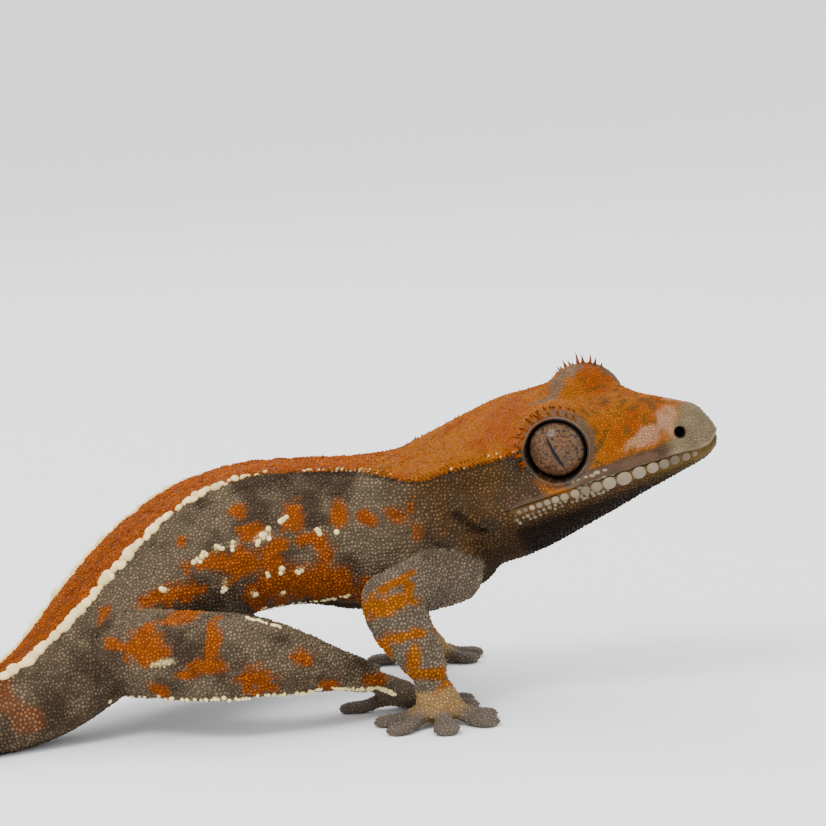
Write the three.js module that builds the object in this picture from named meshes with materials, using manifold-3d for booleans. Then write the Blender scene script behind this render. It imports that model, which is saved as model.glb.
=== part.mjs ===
// A young crested gecko at life size, standing on all fours with its hindquarters low, as a still
// model. Millimetres, +Z up, the head towards +X, the animal's left side towards +Y.
// The trunk, neck, head and tail are one lofted skin that thin cuts part into named pieces. The
// limbs are bones of flesh round straight axes, parted at the elbows, knees, wrists and ankles.
import * as THREE from "three";
import { LoftGeometry } from "three/addons/geometries/LoftGeometry.js";
import { mergeVertices } from "three/addons/utils/BufferGeometryUtils.js";
import Module from "manifold-3d";

const wasm = await Module();
wasm.setup();

const vec = (x, y, z) => new THREE.Vector3(x, y, z);
const radians = THREE.MathUtils.degToRad;

// Driving dimensions
const GAP = 0.3; // left between neighbouring pieces
const EYE_RADIUS = 2.9; // the ball, most of it hidden in the head
const EYE_LATERAL = 4.75; // from the head's middle plane to the ball's centre
const EYE_DROP = 0.3; // of the ball's centre below the head's origin
const ORBIT_RADIUS = 3.7; // the swelling of skin that carries the rim of the eye
const ORBIT_DEPTH = 0.85; // how far its centre lies behind the ball's
const SIDES = [1, -1]; // left, right
const BROW_SPINE = { length: 1.0, width: 0.6, count: 8, first: -40, sweep: 140 }; // angles from the top
const CREST_SPINE = { length: 0.85, width: 0.75, spacing: 1.05 };
const STRIPE_BEAD = { width: 0.95, height: 0.42, spacing: 1.45 };
const LIP_BEAD = { length: 1.595, width: 1.02, height: 0.5, count: 9, first: 9.6, spacing: 1.55 };
const NOSTRIL = { at: [10.3, 2.55, -1.95], radius: 0.42, depth: 1.1 };
// Line of the mouth and of the jaw's hind edge, as [forward, up] in the head's axes
const MOUTH = [
  [14, -4.3], [12, -4.1], [10.3, -3.65], [7, -3.45], [3, -3.5], [-1, -3.7],
  [-4.8, -4.05], [-6.8, -5.3], [-8.2, -8.4], [-8.9, -14.5],
];
const MOUTH_STEPS = 24; // rings of the cut along that line
const MOUTH_REACH = 14; // half width of the cut
const EAR = { at: [-8.9, 7.9, -5.9], length: 2.4, height: 0.8, depth: 1.3, tilt: 12 };
const BALL_DETAIL = [18, 12]; // facets round and down an eyeball
const RING_STEPS = 2; // facets between two lines of the skin, round the body
const ROW_LENGTH = 2.2; // facets along the body, at most this long, and twice that on the tail
const TAIL_ROW = 20; // the row where the body turns into tail
const PLATE = { trunk: 26, tail: 13, bend: 14, end: 6.5 }; // sizes of the plates that part pieces
const FLOOR = { size: 300, depth: 20 };
const SCRAP = 2; // volume below which a parted piece is dropped

// The head's own axes: forward along the mouth, left, and up, turned to the animal's right,
// raised and rolled. Its origin is halfway between the eyes.
const HEAD = { origin: vec(15.9, -3.4, 24.9), yaw: -22, pitch: 8, roll: 17 };
const headMatrix = new THREE.Matrix4()
  .makeRotationFromEuler(
    new THREE.Euler(radians(HEAD.roll), radians(-HEAD.pitch), radians(HEAD.yaw), "ZYX"),
  )
  .setPosition(HEAD.origin);
const headAxes = [vec(), vec(), vec()];
headMatrix.extractBasis(...headAxes);
const inHead = (x, y, z) => vec(x, y, z).applyMatrix4(headMatrix);

// Lines of the head's skin at stations from the snout back, as [across, up] in the head's axes:
// the middle of the crown, the brow and crest, just under it, the temple, the cheek, the lip, the
// edge of the jaw, and the middle of the throat.
const HEAD_ROWS = [
  { x: 12.25, lines: [
    [0, -2.7], [0.6, -2.75], [0.9, -3.0], [1.1, -3.4], [1.2, -3.8], [1.1, -4.3], [0.7, -4.7], [0, -4.9],
  ] },
  { x: 11.6, lines: [
    [0, -1.5], [1.3, -2.1], [1.8, -2.6], [2.15, -3.1], [2.3, -3.6], [2.2, -4.2], [1.6, -4.9], [0, -5.3],
  ] },
  { x: 10.3, lines: [
    [0, -0.45], [2.0, -1.25], [2.65, -1.9], [3.0, -2.6], [3.35, -3.3], [3.3, -4.1], [2.5, -5.15], [0, -5.8],
  ] },
  { x: 8.3, lines: [
    [0, 0.25], [2.6, -0.7], [3.3, -1.6], [3.9, -2.5], [4.5, -3.2], [4.5, -4.2], [3.5, -5.5], [0, -6.4],
  ] },
  { x: 5.6, lines: [
    [0, 0.95], [3.2, 0.05], [3.9, -0.95], [4.6, -2.0], [5.7, -3.0], [5.8, -4.2], [4.5, -6.1], [0, -7.2],
  ] },
  { x: 3.2, lines: [
    [0, 1.4], [4.1, 1.2], [4.8, 0.1], [5.3, -1.3], [6.6, -2.9], [6.8, -4.2], [5.3, -6.8], [0, -8.0],
  ] },
  { x: 0.6, lines: [
    [0, 1.7], [5.7, 2.2], [6.2, 1.0], [6.3, -0.9], [7.4, -2.8], [7.6, -4.3], [5.9, -7.5], [0, -8.8],
  ] },
  { x: -2.6, lines: [
    [0, 1.9], [7.5, 1.0], [7.4, -0.1], [7.3, -1.6], [8.4, -3.1], [8.5, -4.6], [6.3, -8.6], [0, -9.8],
  ] },
  { x: -6.0, lines: [
    [0, 1.8], [7.6, 0.4], [7.6, -0.7], [7.6, -2.2], [8.9, -3.6], [8.8, -5.4], [6.2, -9.6], [0, -10.8],
  ] },
  { x: -9.4, lines: [
    [0, 1.3], [7.4, 0.1], [7.5, -0.9], [7.4, -2.4], [8.1, -4.1], [7.8, -6.4], [5.6, -10.4], [0, -11.6],
  ] },
];

// Stations of the neck, trunk and tail, from the neck back: the middle of the section, the half
// width, the height above and the depth below it, the crest's place across, and the roll.
const BODY_ROWS = [
  { at: [4.4, 1.4, 16.3], wide: 6.8, up: 6.2, down: 6.6, crest: 6.4, roll: 10 },
  { at: [0.6, 1.9, 15.3], wide: 7.2, up: 6.5, down: 7.2, crest: 5.7, roll: 4 },
  { at: [-3.9, 2.1, 15.3], wide: 7.6, up: 6.5, down: 6.9, crest: 4.6, roll: 0 },
  { at: [-8.6, 2.0, 15.7], wide: 8.0, up: 6.3, down: 6.4, crest: 4.2, roll: 0 },
  { at: [-12.8, 1.5, 15.6], wide: 8.2, up: 6.5, down: 6.4, crest: 4.1, roll: 0 },
  { at: [-16.7, 0.7, 14.7], wide: 8.1, up: 6.5, down: 6.2, crest: 4.1, roll: 0 },
  { at: [-20.6, -0.6, 13.1], wide: 7.6, up: 6.0, down: 5.9, crest: 3.7, roll: 0 },
  { at: [-23.9, -2.2, 11.1], wide: 6.9, up: 5.5, down: 5.5, crest: 3.2, roll: 0 },
  { at: [-27.0, -4.2, 8.8], wide: 6.3, up: 5.0, down: 5.0, crest: 2.8, roll: 0 },
  { at: [-30.0, -6.3, 6.4], wide: 5.6, up: 4.5, down: 4.5, crest: 2.3, roll: 0 },
  { at: [-32.8, -8.3, 4.6], wide: 4.8, up: 4.0, down: 4.1, crest: 1.9, roll: 0 },
  { at: [-36.2, -10.5, 3.45], wide: 4.0, up: 3.5, down: 3.6, crest: 1.6, roll: 0 },
  { at: [-40.6, -13.2, 3.0], wide: 3.4, up: 3.05, down: 3.15, crest: 1.5, roll: 0 },
  { at: [-47.0, -16.0, 2.65], wide: 3.0, up: 2.7, down: 2.8, crest: 1.3, roll: 0 },
  { at: [-55.0, -17.4, 2.25], wide: 2.6, up: 2.3, down: 2.4, crest: 1.1, roll: 0 },
  { at: [-63.5, -16.4, 1.9], wide: 2.2, up: 1.95, down: 2.05, crest: 0.95, roll: 0 },
  { at: [-71.5, -12.6, 1.5], wide: 1.8, up: 1.55, down: 1.65, crest: 0.8, roll: 0 },
  { at: [-77.6, -7.0, 1.15], wide: 1.4, up: 1.2, down: 1.3, crest: 0.6, roll: 0 },
  { at: [-81.4, -0.6, 0.85], wide: 1.05, up: 0.85, down: 1.0, crest: 0.45, roll: 0 },
  { at: [-82.9, 4.2, 0.65], wide: 1.1, up: 0.65, down: 0.8, crest: 0.5, roll: 0 },
  { at: [-83.0, 6.6, 0.55], wide: 0.8, up: 0.5, down: 0.7, crest: 0.35, roll: 0 },
  { at: [-82.9, 7.5, 0.5], wide: 0.3, up: 0.3, down: 0.5, crest: 0.15, roll: 0 },
];

// One body section's lines, in the same order as the head's, from its few sizes.
function bodyLines({ wide, up, down, crest }) {
  const ledge = Math.min(crest + 0.13 * wide, 0.98 * wide);
  return [
    [0, up],
    [crest, up - 0.03 * wide],
    [ledge, up - 0.2 * up],
    [Math.max(0.92 * wide, ledge), 0.4 * up],
    [wide, -0.12 * down],
    [0.9 * wide, -0.58 * down],
    [0.55 * wide, -0.9 * down],
    [0, -down],
  ];
}

// The control rows in the model's frame: [middle, lines down the left side, then up the right].
const trunkPath = new THREE.CatmullRomCurve3(
  [inHead(-9.4, 0, -5), ...BODY_ROWS.map((row) => vec(...row.at))],
  false,
  "centripetal",
);

function trunkAxes(index, roll) {
  const forward = trunkPath.getTangent(index / (trunkPath.points.length - 1)).negate();
  const left = vec(0, 0, 1).cross(forward).normalize();
  left.applyAxisAngle(forward, radians(roll));
  return [forward, left, forward.clone().cross(left)];
}

function rowPoints(middle, left, up, lines) {
  const side = (across, height) =>
    middle.clone().addScaledVector(left, across).addScaledVector(up, height);
  return [
    ...lines.map(([across, height]) => side(across, height)),
    ...lines.slice(1, -1).reverse().map(([across, height]) => side(-across, height)),
  ];
}

const CONTROL_ROWS = [
  ...HEAD_ROWS.map(({ x, lines }) => ({
    middle: inHead(x, 0, -4),
    points: rowPoints(inHead(x, 0, 0), headAxes[1], headAxes[2], lines),
  })),
  ...BODY_ROWS.map((row, i) => {
    const middle = vec(...row.at);
    const [, left, up] = trunkAxes(i + 1, row.roll);
    return { middle, points: rowPoints(middle, left, up, bodyLines(row)) };
  }),
];

// The two lines along the crests, counted from the crown down the left side and up the right
const CREST_LINES = [1, 13];
const LINES_ROUND = CONTROL_ROWS[0].points.length;

// Knots of the rows, so that uneven rows still join smoothly.
const rowKnots = [0];
CONTROL_ROWS.slice(1).forEach((row, i) => {
  rowKnots.push(rowKnots[i] + Math.sqrt(row.middle.distanceTo(CONTROL_ROWS[i].middle)));
});

// A smooth curve through values at knots, by cubic pieces whose slopes come from both neighbours.
function throughKnots(knots, values, t) {
  const last = knots.length - 1;
  const i = Math.min(Math.max(knots.findIndex((k) => k > t) - 1, 0), last - 1);
  const j = t >= knots[last] ? last - 1 : i;
  const slope = (k) => {
    const a = Math.max(k - 1, 0);
    const b = Math.min(k + 1, last);
    return values[b].clone().sub(values[a]).divideScalar(knots[b] - knots[a]);
  };
  const width = knots[j + 1] - knots[j];
  const s = (t - knots[j]) / width;
  return values[j].clone().multiplyScalar(2 * s ** 3 - 3 * s ** 2 + 1)
    .addScaledVector(slope(j), width * (s ** 3 - 2 * s ** 2 + s))
    .addScaledVector(values[j + 1], 3 * s ** 2 - 2 * s ** 3)
    .addScaledVector(slope(j + 1), width * (s ** 3 - s ** 2));
}

// A point of the skin: row is a fractional index of CONTROL_ROWS, line of the lines round it.
function skinRing(row) {
  const i = Math.min(Math.floor(row), rowKnots.length - 2);
  const t = THREE.MathUtils.lerp(rowKnots[i], rowKnots[i + 1], row - i);
  return CONTROL_ROWS[0].points.map((_, line) =>
    throughKnots(rowKnots, CONTROL_ROWS.map((r) => r.points[line]), t),
  );
}

const ringCurve = (row) => new THREE.CatmullRomCurve3(skinRing(row), true, "centripetal");
const middleOfRing = (ring) => ring.reduce((sum, p) => sum.add(p), vec()).divideScalar(ring.length);
const skinMiddle = (row) => middleOfRing(skinRing(row));

// Fractional rows of the loft's rings, no further apart than ROW_LENGTH.
const ringRows = [];
CONTROL_ROWS.slice(1).forEach((row, i) => {
  const longest = i < TAIL_ROW ? ROW_LENGTH : 2 * ROW_LENGTH;
  const steps = Math.ceil(row.middle.distanceTo(CONTROL_ROWS[i].middle) / longest);
  for (let k = 0; k < steps; k++) ringRows.push(i + k / steps);
});
ringRows.push(CONTROL_ROWS.length - 1);

// A closed loft as a solid. Its sections may wind either way.
function loftSolid(sections) {
  const [first, second] = sections;
  const middle = middleOfRing(first);
  const turn = first.reduce((sum, p, i) => {
    const next = first[(i + 1) % first.length];
    return sum.add(p.clone().sub(middle).cross(next.clone().sub(middle)));
  }, vec());
  const forward = turn.dot(middleOfRing(second).sub(middle)) > 0;
  const ordered = forward ? sections : sections.map((ring) => [...ring].reverse());
  return solidOf(new LoftGeometry(ordered, { capStart: true, capEnd: true }));
}

// A closed geometry as a solid, its faces turned outward.
function solidOf(geometry, matrix = new THREE.Matrix4()) {
  const bare = new THREE.BufferGeometry();
  bare.setAttribute("position", geometry.attributes.position.clone());
  if (geometry.index) bare.setIndex(geometry.index.clone());
  const merged = mergeVertices(bare.applyMatrix4(matrix), 1e-4);
  const corners = new Uint32Array(merged.index.array);
  const places = merged.attributes.position.array;
  const made = () =>
    new wasm.Manifold(new wasm.Mesh({ numProp: 3, vertProperties: places, triVerts: corners }));
  if (made().volume() > 0) return made();
  for (let i = 0; i < corners.length; i += 3) {
    [corners[i], corners[i + 1]] = [corners[i + 1], corners[i]];
  }
  return made();
}

// The skin of head, trunk and tail, swollen by a clearance where it has to cut its neighbours.
function bodySolid(clearance = 0) {
  const sections = ringRows.map((row) => {
    const middle = skinMiddle(row);
    return ringPoints(row).map((p) => {
      const out = p.clone().sub(middle);
      return p.addScaledVector(out, clearance / out.length());
    });
  });
  return loftSolid(sections);
}

function ringPoints(row) {
  const curve = ringCurve(row);
  const count = LINES_ROUND * RING_STEPS;
  return Array.from({ length: count }, (_, k) => curve.getPoint(k / count));
}

// Keeps the largest closed piece, which drops loose scraps.
const largest = (solid) =>
  solid.decompose().reduce((best, piece) => (piece.volume() > best.volume() ? piece : best));

const joined = (pieces) => pieces.reduce((all, piece) => all.add(piece));

// A thin plate that parts two pieces, square to a direction.
function partingPlate(at, direction, size) {
  const turn = new THREE.Quaternion().setFromUnitVectors(vec(0, 0, 1), direction.clone().normalize());
  const matrix = new THREE.Matrix4().compose(at, turn, vec(1, 1, 1));
  return solidOf(new THREE.BoxGeometry(size, size, GAP), matrix);
}

const moved = (x, y, z) => new THREE.Matrix4().makeTranslation(x, y, z);
const floorBlock = solidOf(
  new THREE.BoxGeometry(FLOOR.size, FLOOR.size, FLOOR.depth),
  moved(0, 0, -FLOOR.depth / 2),
);
const onFloor = (solid) => solid.subtract(floorBlock);

// A limb's piece: a round form along an axis, its radius given at even steps, flattened across.
function bone(from, to, radii, { flatten = 1, across = vec(0, 0, 1), sides = 10 } = {}) {
  const axis = to.clone().sub(from);
  const length = axis.length();
  const ends = [radii[0], radii[radii.length - 1]];
  const cap = [[0, 0.75], [0.66, 0.5]]; // a rounded end, as shares of its radius
  const profile = [
    ...cap.map(([out, past]) => [out * ends[0], -past * ends[0]]),
    ...radii.map((radius, i) => [radius, (length * i) / (radii.length - 1)]),
    ...cap.map(([out, past]) => [out * ends[1], length + past * ends[1]]).reverse(),
  ].map(([out, up]) => new THREE.Vector2(out, up));
  const y = axis.normalize();
  const z = across.clone().addScaledVector(y, -across.dot(y)).normalize();
  const x = y.clone().cross(z);
  const matrix = new THREE.Matrix4().makeBasis(x, y, z.multiplyScalar(flatten)).setPosition(from);
  return solidOf(new THREE.LatheGeometry(profile, sides), matrix);
}

// A cone or dome set on the skin, its root sunk in.
function spine(at, direction, { length, width }, sides = 5) {
  const sunk = 0.45; // depth of the root under the skin
  const turn = new THREE.Quaternion().setFromUnitVectors(vec(0, 1, 0), direction.clone().normalize());
  const middle = at.clone().addScaledVector(direction.clone().normalize(), (length - sunk) / 2);
  const matrix = new THREE.Matrix4().compose(middle, turn, vec(1, 1, 1));
  return solidOf(new THREE.ConeGeometry(width * 0.65, length + sunk, sides), matrix);
}

function bead(at, normal, along, { width, height, length = width }) {
  const z = normal.clone().normalize();
  const x = along.clone().addScaledVector(z, -along.dot(z)).normalize();
  const y = z.clone().cross(x);
  const matrix = new THREE.Matrix4()
    .makeBasis(x.multiplyScalar(length / 2), y.multiplyScalar(width / 2), z.multiplyScalar(height))
    .setPosition(at);
  return solidOf(new THREE.OctahedronGeometry(1, 0), matrix);
}

// Where a line of the skin passes, every so many millimetres, with its outward direction.
function alongLine(line, fromRow, toRow, spacing) {
  const found = [];
  let walked = spacing / 2;
  let previous = skinRing(fromRow)[line];
  for (let row = fromRow; row <= toRow; row += 0.02) {
    const point = skinRing(row)[line];
    walked += point.distanceTo(previous);
    if (walked >= spacing) {
      walked -= spacing;
      const along = point.clone().sub(previous).normalize();
      found.push({ row, point, along, out: point.clone().sub(skinMiddle(row)).normalize() });
    }
    previous = point;
  }
  return found;
}

// Rows where the skin is parted, and the pieces between them from the head back.
const CUT_ROWS = [9.35, 11.6, 14.5, 17.4, 20.6, 24.5, 27.5];
const TRUNK_NAMES = [
  "head", "neck", "thorax", "abdomen", "pelvis", "tail_base", "tail_middle", "tail_tip",
];
const CLEAR_OF_CUT = 0.85; // how far a set scale stays from a parting
const pieceAt = (row) => CUT_ROWS.filter((cut) => row > cut).length;
const clearOfCuts = ({ row }) =>
  CUT_ROWS.every((cut) => skinMiddle(cut).distanceTo(skinMiddle(row)) > CLEAR_OF_CUT);

// Eyes: a ball in a round socket, and the swelling round it, for the left (+1) and right (-1).
const eyeCentre = (side) => inHead(0, side * EYE_LATERAL, -EYE_DROP);
const eyeAxis = (side) => inHead(0.16, side, 0.12).sub(inHead(0, 0, 0)).normalize();
const ball = (at, radius) => solidOf(new THREE.SphereGeometry(radius, ...BALL_DETAIL), moved(...at));
const orbitCentre = (side) => eyeCentre(side).addScaledVector(eyeAxis(side), -ORBIT_DEPTH);
const socket = (side) => ball(eyeCentre(side), EYE_RADIUS + GAP);

const orbitBall = (side) => ball(orbitCentre(side), ORBIT_RADIUS);
const withOrbits = (head) =>
  SIDES.reduce((made, side) => made.add(orbitBall(side)).subtract(socket(side)), head);

// Small pointed scales over the rear and top of each eye.
function browSpines(side) {
  const axis = eyeAxis(side);
  const up = headAxes[2].clone().addScaledVector(axis, -headAxes[2].dot(axis)).normalize();
  const { first, sweep, count } = BROW_SPINE;
  return Array.from({ length: count }, (_, k) => {
    const angle = radians(first + (sweep * k) / (count - 1)) * -side;
    const out = up.clone().applyAxisAngle(axis, angle);
    const direction = out.clone().addScaledVector(axis, 0.45).addScaledVector(headAxes[0], -0.2);
    const root = orbitCentre(side)
      .addScaledVector(axis, 0.5 * ORBIT_RADIUS)
      .addScaledVector(out, 0.85 * ORBIT_RADIUS);
    return spine(root, direction, BROW_SPINE);
  });
}

// The row of pointed scales on the crest, from behind the eye to the shoulder.
function crestSpines(line) {
  return alongLine(line, 7.1, 12.3, CREST_SPINE.spacing)
    .filter(clearOfCuts)
    .map(({ row, point, along, out }) => {
      const direction = out.clone().addScaledVector(along, 0.25).add(vec(0, 0, 0.25));
      return { row, solid: spine(point, direction, CREST_SPINE) };
    });
}

// Raised pale scales of the stripe down each side of the back, smaller towards the tail.
function stripeBeads(line) {
  return alongLine(line, 12.5, 20.9, STRIPE_BEAD.spacing)
    .filter(clearOfCuts)
    .map(({ row, point, along, out }, k) => {
      const grow = 0.88 + 0.2 * Math.sin(2.4 * k) ** 2;
      const width = STRIPE_BEAD.width * grow;
      return { row, solid: bead(point, out, along, { width, height: STRIPE_BEAD.height * grow }) };
    });
}

// The mouth: a thin cut along the lips, down behind the corner and through the throat.
function mouthCutter() {
  const path = new THREE.SplineCurve(MOUTH.map(([x, z]) => new THREE.Vector2(x, z)));
  return loftSolid(
    Array.from({ length: MOUTH_STEPS + 1 }, (_, i) => {
      const at = path.getPoint(i / MOUTH_STEPS);
      const along = path.getTangent(i / MOUTH_STEPS);
      const half = GAP / 2;
      const corner = (side, edge) =>
        inHead(at.x - edge * along.y * half, MOUTH_REACH * side, at.y + edge * along.x * half);
      return [corner(1, 1), corner(1, -1), corner(-1, -1), corner(-1, 1)];
    }),
  );
}

// Large pale scales along the lower lip.
function lipBeads(side) {
  return Array.from({ length: LIP_BEAD.count }, (_, k) => {
    const x = LIP_BEAD.first - LIP_BEAD.spacing * k;
    const back = (HEAD_ROWS[0].x - x) / 17; // share of the way from the snout to the jaw's corner
    const across = 7.9 * Math.sin(Math.min(1, 0.22 + back) * 1.42); // follows the curve of the lip
    const size = 1 - 0.045 * k;
    const at = inHead(x, side * (across - 0.05), -4.1 - 0.02 * k);
    const normal = inHead(0.25, side, -0.45).sub(inHead(0, 0, 0));
    const along = headAxes[0].clone().addScaledVector(headAxes[1], -side * 0.35);
    const { length, width, height } = LIP_BEAD;
    return bead(at, normal, along, { length: length * size, width: width * size, height });
  });
}

function withNostrilAndEar(head) {
  const hole = new THREE.CylinderGeometry(NOSTRIL.radius, NOSTRIL.radius * 0.7, 2 * NOSTRIL.depth, 8);
  const ear = new THREE.SphereGeometry(1, 10, 6).scale(EAR.length / 2, EAR.depth, EAR.height / 2);
  ear.rotateY(radians(EAR.tilt));
  const placed = ([x, y, z], side) => headMatrix.clone().multiply(moved(x, side * y, z));
  return SIDES.reduce(
    (made, side) =>
      made.subtract(solidOf(hole, placed(NOSTRIL.at, side))).subtract(solidOf(ear, placed(EAR.at, side))),
    head,
  );
}

// A digit: a slim base, a broad flat pad on the floor and a small claw.
const DIGIT_STATIONS = [
  // share of the length, height, half width as a share of the pad's, half thickness
  [-0.05, 1.5, 0.65, 0.72], [0.36, 1.05, 0.62, 0.68], [0.56, 0.6, 0.7, 0.62],
  [0.76, 0.46, 1.0, 0.55], [0.93, 0.4, 0.84, 0.46], [1.0, 0.34, 0.38, 0.22],
];
const DIGIT_SIDES = 8;
const CLAW_WIDTH = 0.55;

function digit(root, angle, length, padWidth) {
  const along = vec(Math.cos(radians(angle)), Math.sin(radians(angle)), 0);
  const across = vec(-along.y, along.x, 0);
  const sections = DIGIT_STATIONS.map(([t, height, share, thick]) =>
    Array.from({ length: DIGIT_SIDES }, (_, k) => {
      const turn = (k / DIGIT_SIDES) * 2 * Math.PI;
      return root.clone().setZ(0)
        .addScaledVector(along, t * length)
        .addScaledVector(across, Math.cos(turn) * share * padWidth * 0.5)
        .add(vec(0, 0, height + Math.sin(turn) * thick));
    }),
  );
  const tip = root.clone().setZ(0.55).addScaledVector(along, length * 0.9);
  const down = along.clone().add(vec(0, 0, -0.12));
  const claw = spine(tip, down, { length: 0.16 * length + 0.35, width: CLAW_WIDTH });
  return loftSolid(sections).add(claw);
}

// A hand or foot: a flat palm from wrist to knuckles with five digits spread round it.
function extremity({ joint, palm, palmRadius, digits, lengths, padWidth }) {
  const base = bone(joint, palm, [palmRadius * 0.62, palmRadius * 0.8, palmRadius], { flatten: 0.62 });
  return joined([base, ...digits.map((angle, k) => digit(palm, angle, lengths[k], padWidth))]);
}

// Skin stretched between thigh and shank, its pale lower edge nearly straight.
const WEB_THICKNESS = 1.15;
const WEB_RINGS = 9;
const WEB_SIDES = 10;

function legWeb(tops, lows, thickness) {
  const upper = new THREE.CatmullRomCurve3(tops);
  const lower = new THREE.CatmullRomCurve3(lows);
  const normal = tops[1].clone().sub(tops[0]).cross(lows[1].clone().sub(tops[0])).normalize();
  return loftSolid(
    Array.from({ length: WEB_RINGS }, (_, i) => {
      const t = i / (WEB_RINGS - 1);
      const [a, b] = [upper.getPoint(t), lower.getPoint(t)];
      const grow = 0.35 + 0.65 * Math.sin(Math.PI * Math.min(1, 0.12 + t * 0.8)) ** 0.5;
      return Array.from({ length: WEB_SIDES }, (_, k) => {
        const turn = (k / WEB_SIDES) * 2 * Math.PI;
        const down = (1 - Math.cos(turn)) / 2;
        const thick = thickness * (1.15 - 0.6 * down) * grow;
        return a.clone().lerp(b, down).addScaledVector(normal, Math.sin(turn) * thick);
      });
    }),
  );
}

// Limbs. Places of the joints, in the model's frame; the right side is the one the photo shows.
const LIMBS = {
  arm_right: {
    root: vec(4.4, -3.2, 11.9), bend: vec(-1.9, -10.4, 11.0), end: vec(1.6, -11.4, 4.7),
    palm: vec(2.3, -12.2, 1.75), digits: [10, -34, -84, -134, 176],
  },
  arm_left: {
    root: vec(4.0, 6.8, 12.2), bend: vec(-2.6, 13.4, 11.0), end: vec(0.4, 15.8, 4.6),
    palm: vec(1.4, 17.2, 1.75), digits: [-14, 26, 70, 118, 166],
  },
  leg_right: {
    root: vec(-26.6, -7.4, 7.4), bend: vec(-15.6, -14.6, 8.9), end: vec(-4.0, -8.4, 3.9),
    palm: vec(-1.0, -5.8, 1.7), digits: [84, 52, 22, -8, 164],
  },
  leg_left: {
    root: vec(-29.6, -1.8, 7.2), bend: vec(-21.8, 9.2, 9.3), end: vec(-13.0, 12.0, 3.8),
    palm: vec(-9.6, 12.8, 1.7), digits: [-74, -42, -12, 16, 140],
  },
};
const ARM = {
  upper: [2.9, 2.7, 2.45, 2.3, 2.2], lower: [2.2, 2.55, 2.5, 2.1, 1.75],
  palmRadius: 2.35, lengths: [5.2, 6.0, 6.3, 6.3, 5.8], padWidth: 2.5,
};
const LEG = {
  upper: [3.2, 3.5, 3.4, 3.0, 2.6], lower: [2.6, 2.85, 2.5, 1.9, 1.45],
  palmRadius: 2.0, lengths: [5.2, 6.2, 7.0, 7.0, 5.8], padWidth: 2.5,
};

function limbPieces(name, limb, cutter) {
  const sizes = name.startsWith("arm") ? ARM : LEG;
  const { root, bend, end, palm } = limb;
  const foot = extremity({ joint: end, palm, ...sizes, digits: limb.digits });
  const parts = [bone(root, bend, sizes.upper), bone(bend, end, sizes.lower), foot];
  if (name.startsWith("leg")) {
    const low = (p, z, out) => vec(p.x, p.y + Math.sign(bend.y) * out, z);
    const lows = [low(root, 3.6, 0.6), low(bend, 3.5, -0.4), low(end, 2.9, -0.2)];
    parts.push(legWeb([root, bend, end], lows, WEB_THICKNESS));
  }
  const between = (from, to) => to.clone().sub(from).normalize();
  const lower = between(bend, end);
  const plates = [
    partingPlate(bend, between(root, bend).add(lower), PLATE.bend),
    partingPlate(end, between(end, palm).add(lower), PLATE.end),
  ];
  const whole = onFloor(joined(parts)).subtract(cutter);
  const pieces = plates.reduce((made, plate) => made.subtract(plate), whole).decompose();
  const away = (piece, goal) => middleOf(piece).distanceTo(goal);
  const nearest = (goal) =>
    pieces.filter((p) => p.volume() > SCRAP / 2).reduce((a, b) => (away(b, goal) < away(a, goal) ? b : a));
  return [nearest(root.clone().lerp(bend, 0.65)), nearest(bend.clone().lerp(end, 0.5)), nearest(palm)];
}

function middleOf(solid) {
  const { min, max } = solid.boundingBox();
  return vec(...min).add(vec(...max)).multiplyScalar(0.5);
}

// Colours of the finishes
const FINISHES = {
  skin: { color: 0x5c5147, roughness: 0.75 },
  crest: { color: 0xb86a1c, roughness: 0.7 },
  eye: { color: 0x8a6a5a, roughness: 0.15 },
};
const material = (finish) => new THREE.MeshStandardMaterial({ ...FINISHES[finish], metalness: 0 });

function meshOf(name, solid, finish) {
  const { numProp, vertProperties, triVerts, numVert } = solid.getMesh();
  const positions = new Float32Array(numVert * 3);
  for (let i = 0; i < numVert; i++) {
    positions.set(vertProperties.subarray(i * numProp, i * numProp + 3), i * 3);
  }
  const geometry = new THREE.BufferGeometry();
  geometry.setAttribute("position", new THREE.BufferAttribute(positions, 3));
  geometry.setIndex(new THREE.BufferAttribute(triVerts, 1));
  geometry.computeVertexNormals();
  const mesh = new THREE.Mesh(geometry, material(finish));
  mesh.name = name;
  return mesh;
}

// Trunk, parted into its pieces
const gecko = new THREE.Group();
const plates = CUT_ROWS.map((row) => {
  const along = skinMiddle(row + 0.05).sub(skinMiddle(row - 0.05));
  return partingPlate(skinMiddle(row), along, row < TAIL_ROW ? PLATE.trunk : PLATE.tail);
});
const wholeTrunk = onFloor(withNostrilAndEar(withOrbits(bodySolid())));
const trunkPieces = plates
  .reduce((made, plate) => made.subtract(plate), wholeTrunk)
  .decompose()
  .filter((piece) => piece.volume() > SCRAP)
  .sort((a, b) => middleOf(b).x - middleOf(a).x);
if (trunkPieces.length !== TRUNK_NAMES.length) {
  throw new Error("the trunk parted into " + trunkPieces.length);
}

// The head without its jaw, and the jaw with its lip scales
function headAndJaw(solid) {
  const whole = SIDES.reduce(
    (made, side) => made.subtract(socket(side)),
    joined([solid, ...SIDES.flatMap(browSpines)]),
  );
  const cutter = mouthCutter();
  const [head, jaw] = whole.subtract(cutter).decompose().sort((a, b) => b.volume() - a.volume());
  return [head, joined([jaw, ...SIDES.flatMap(lipBeads)]).subtract(cutter).subtract(head)];
}

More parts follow.
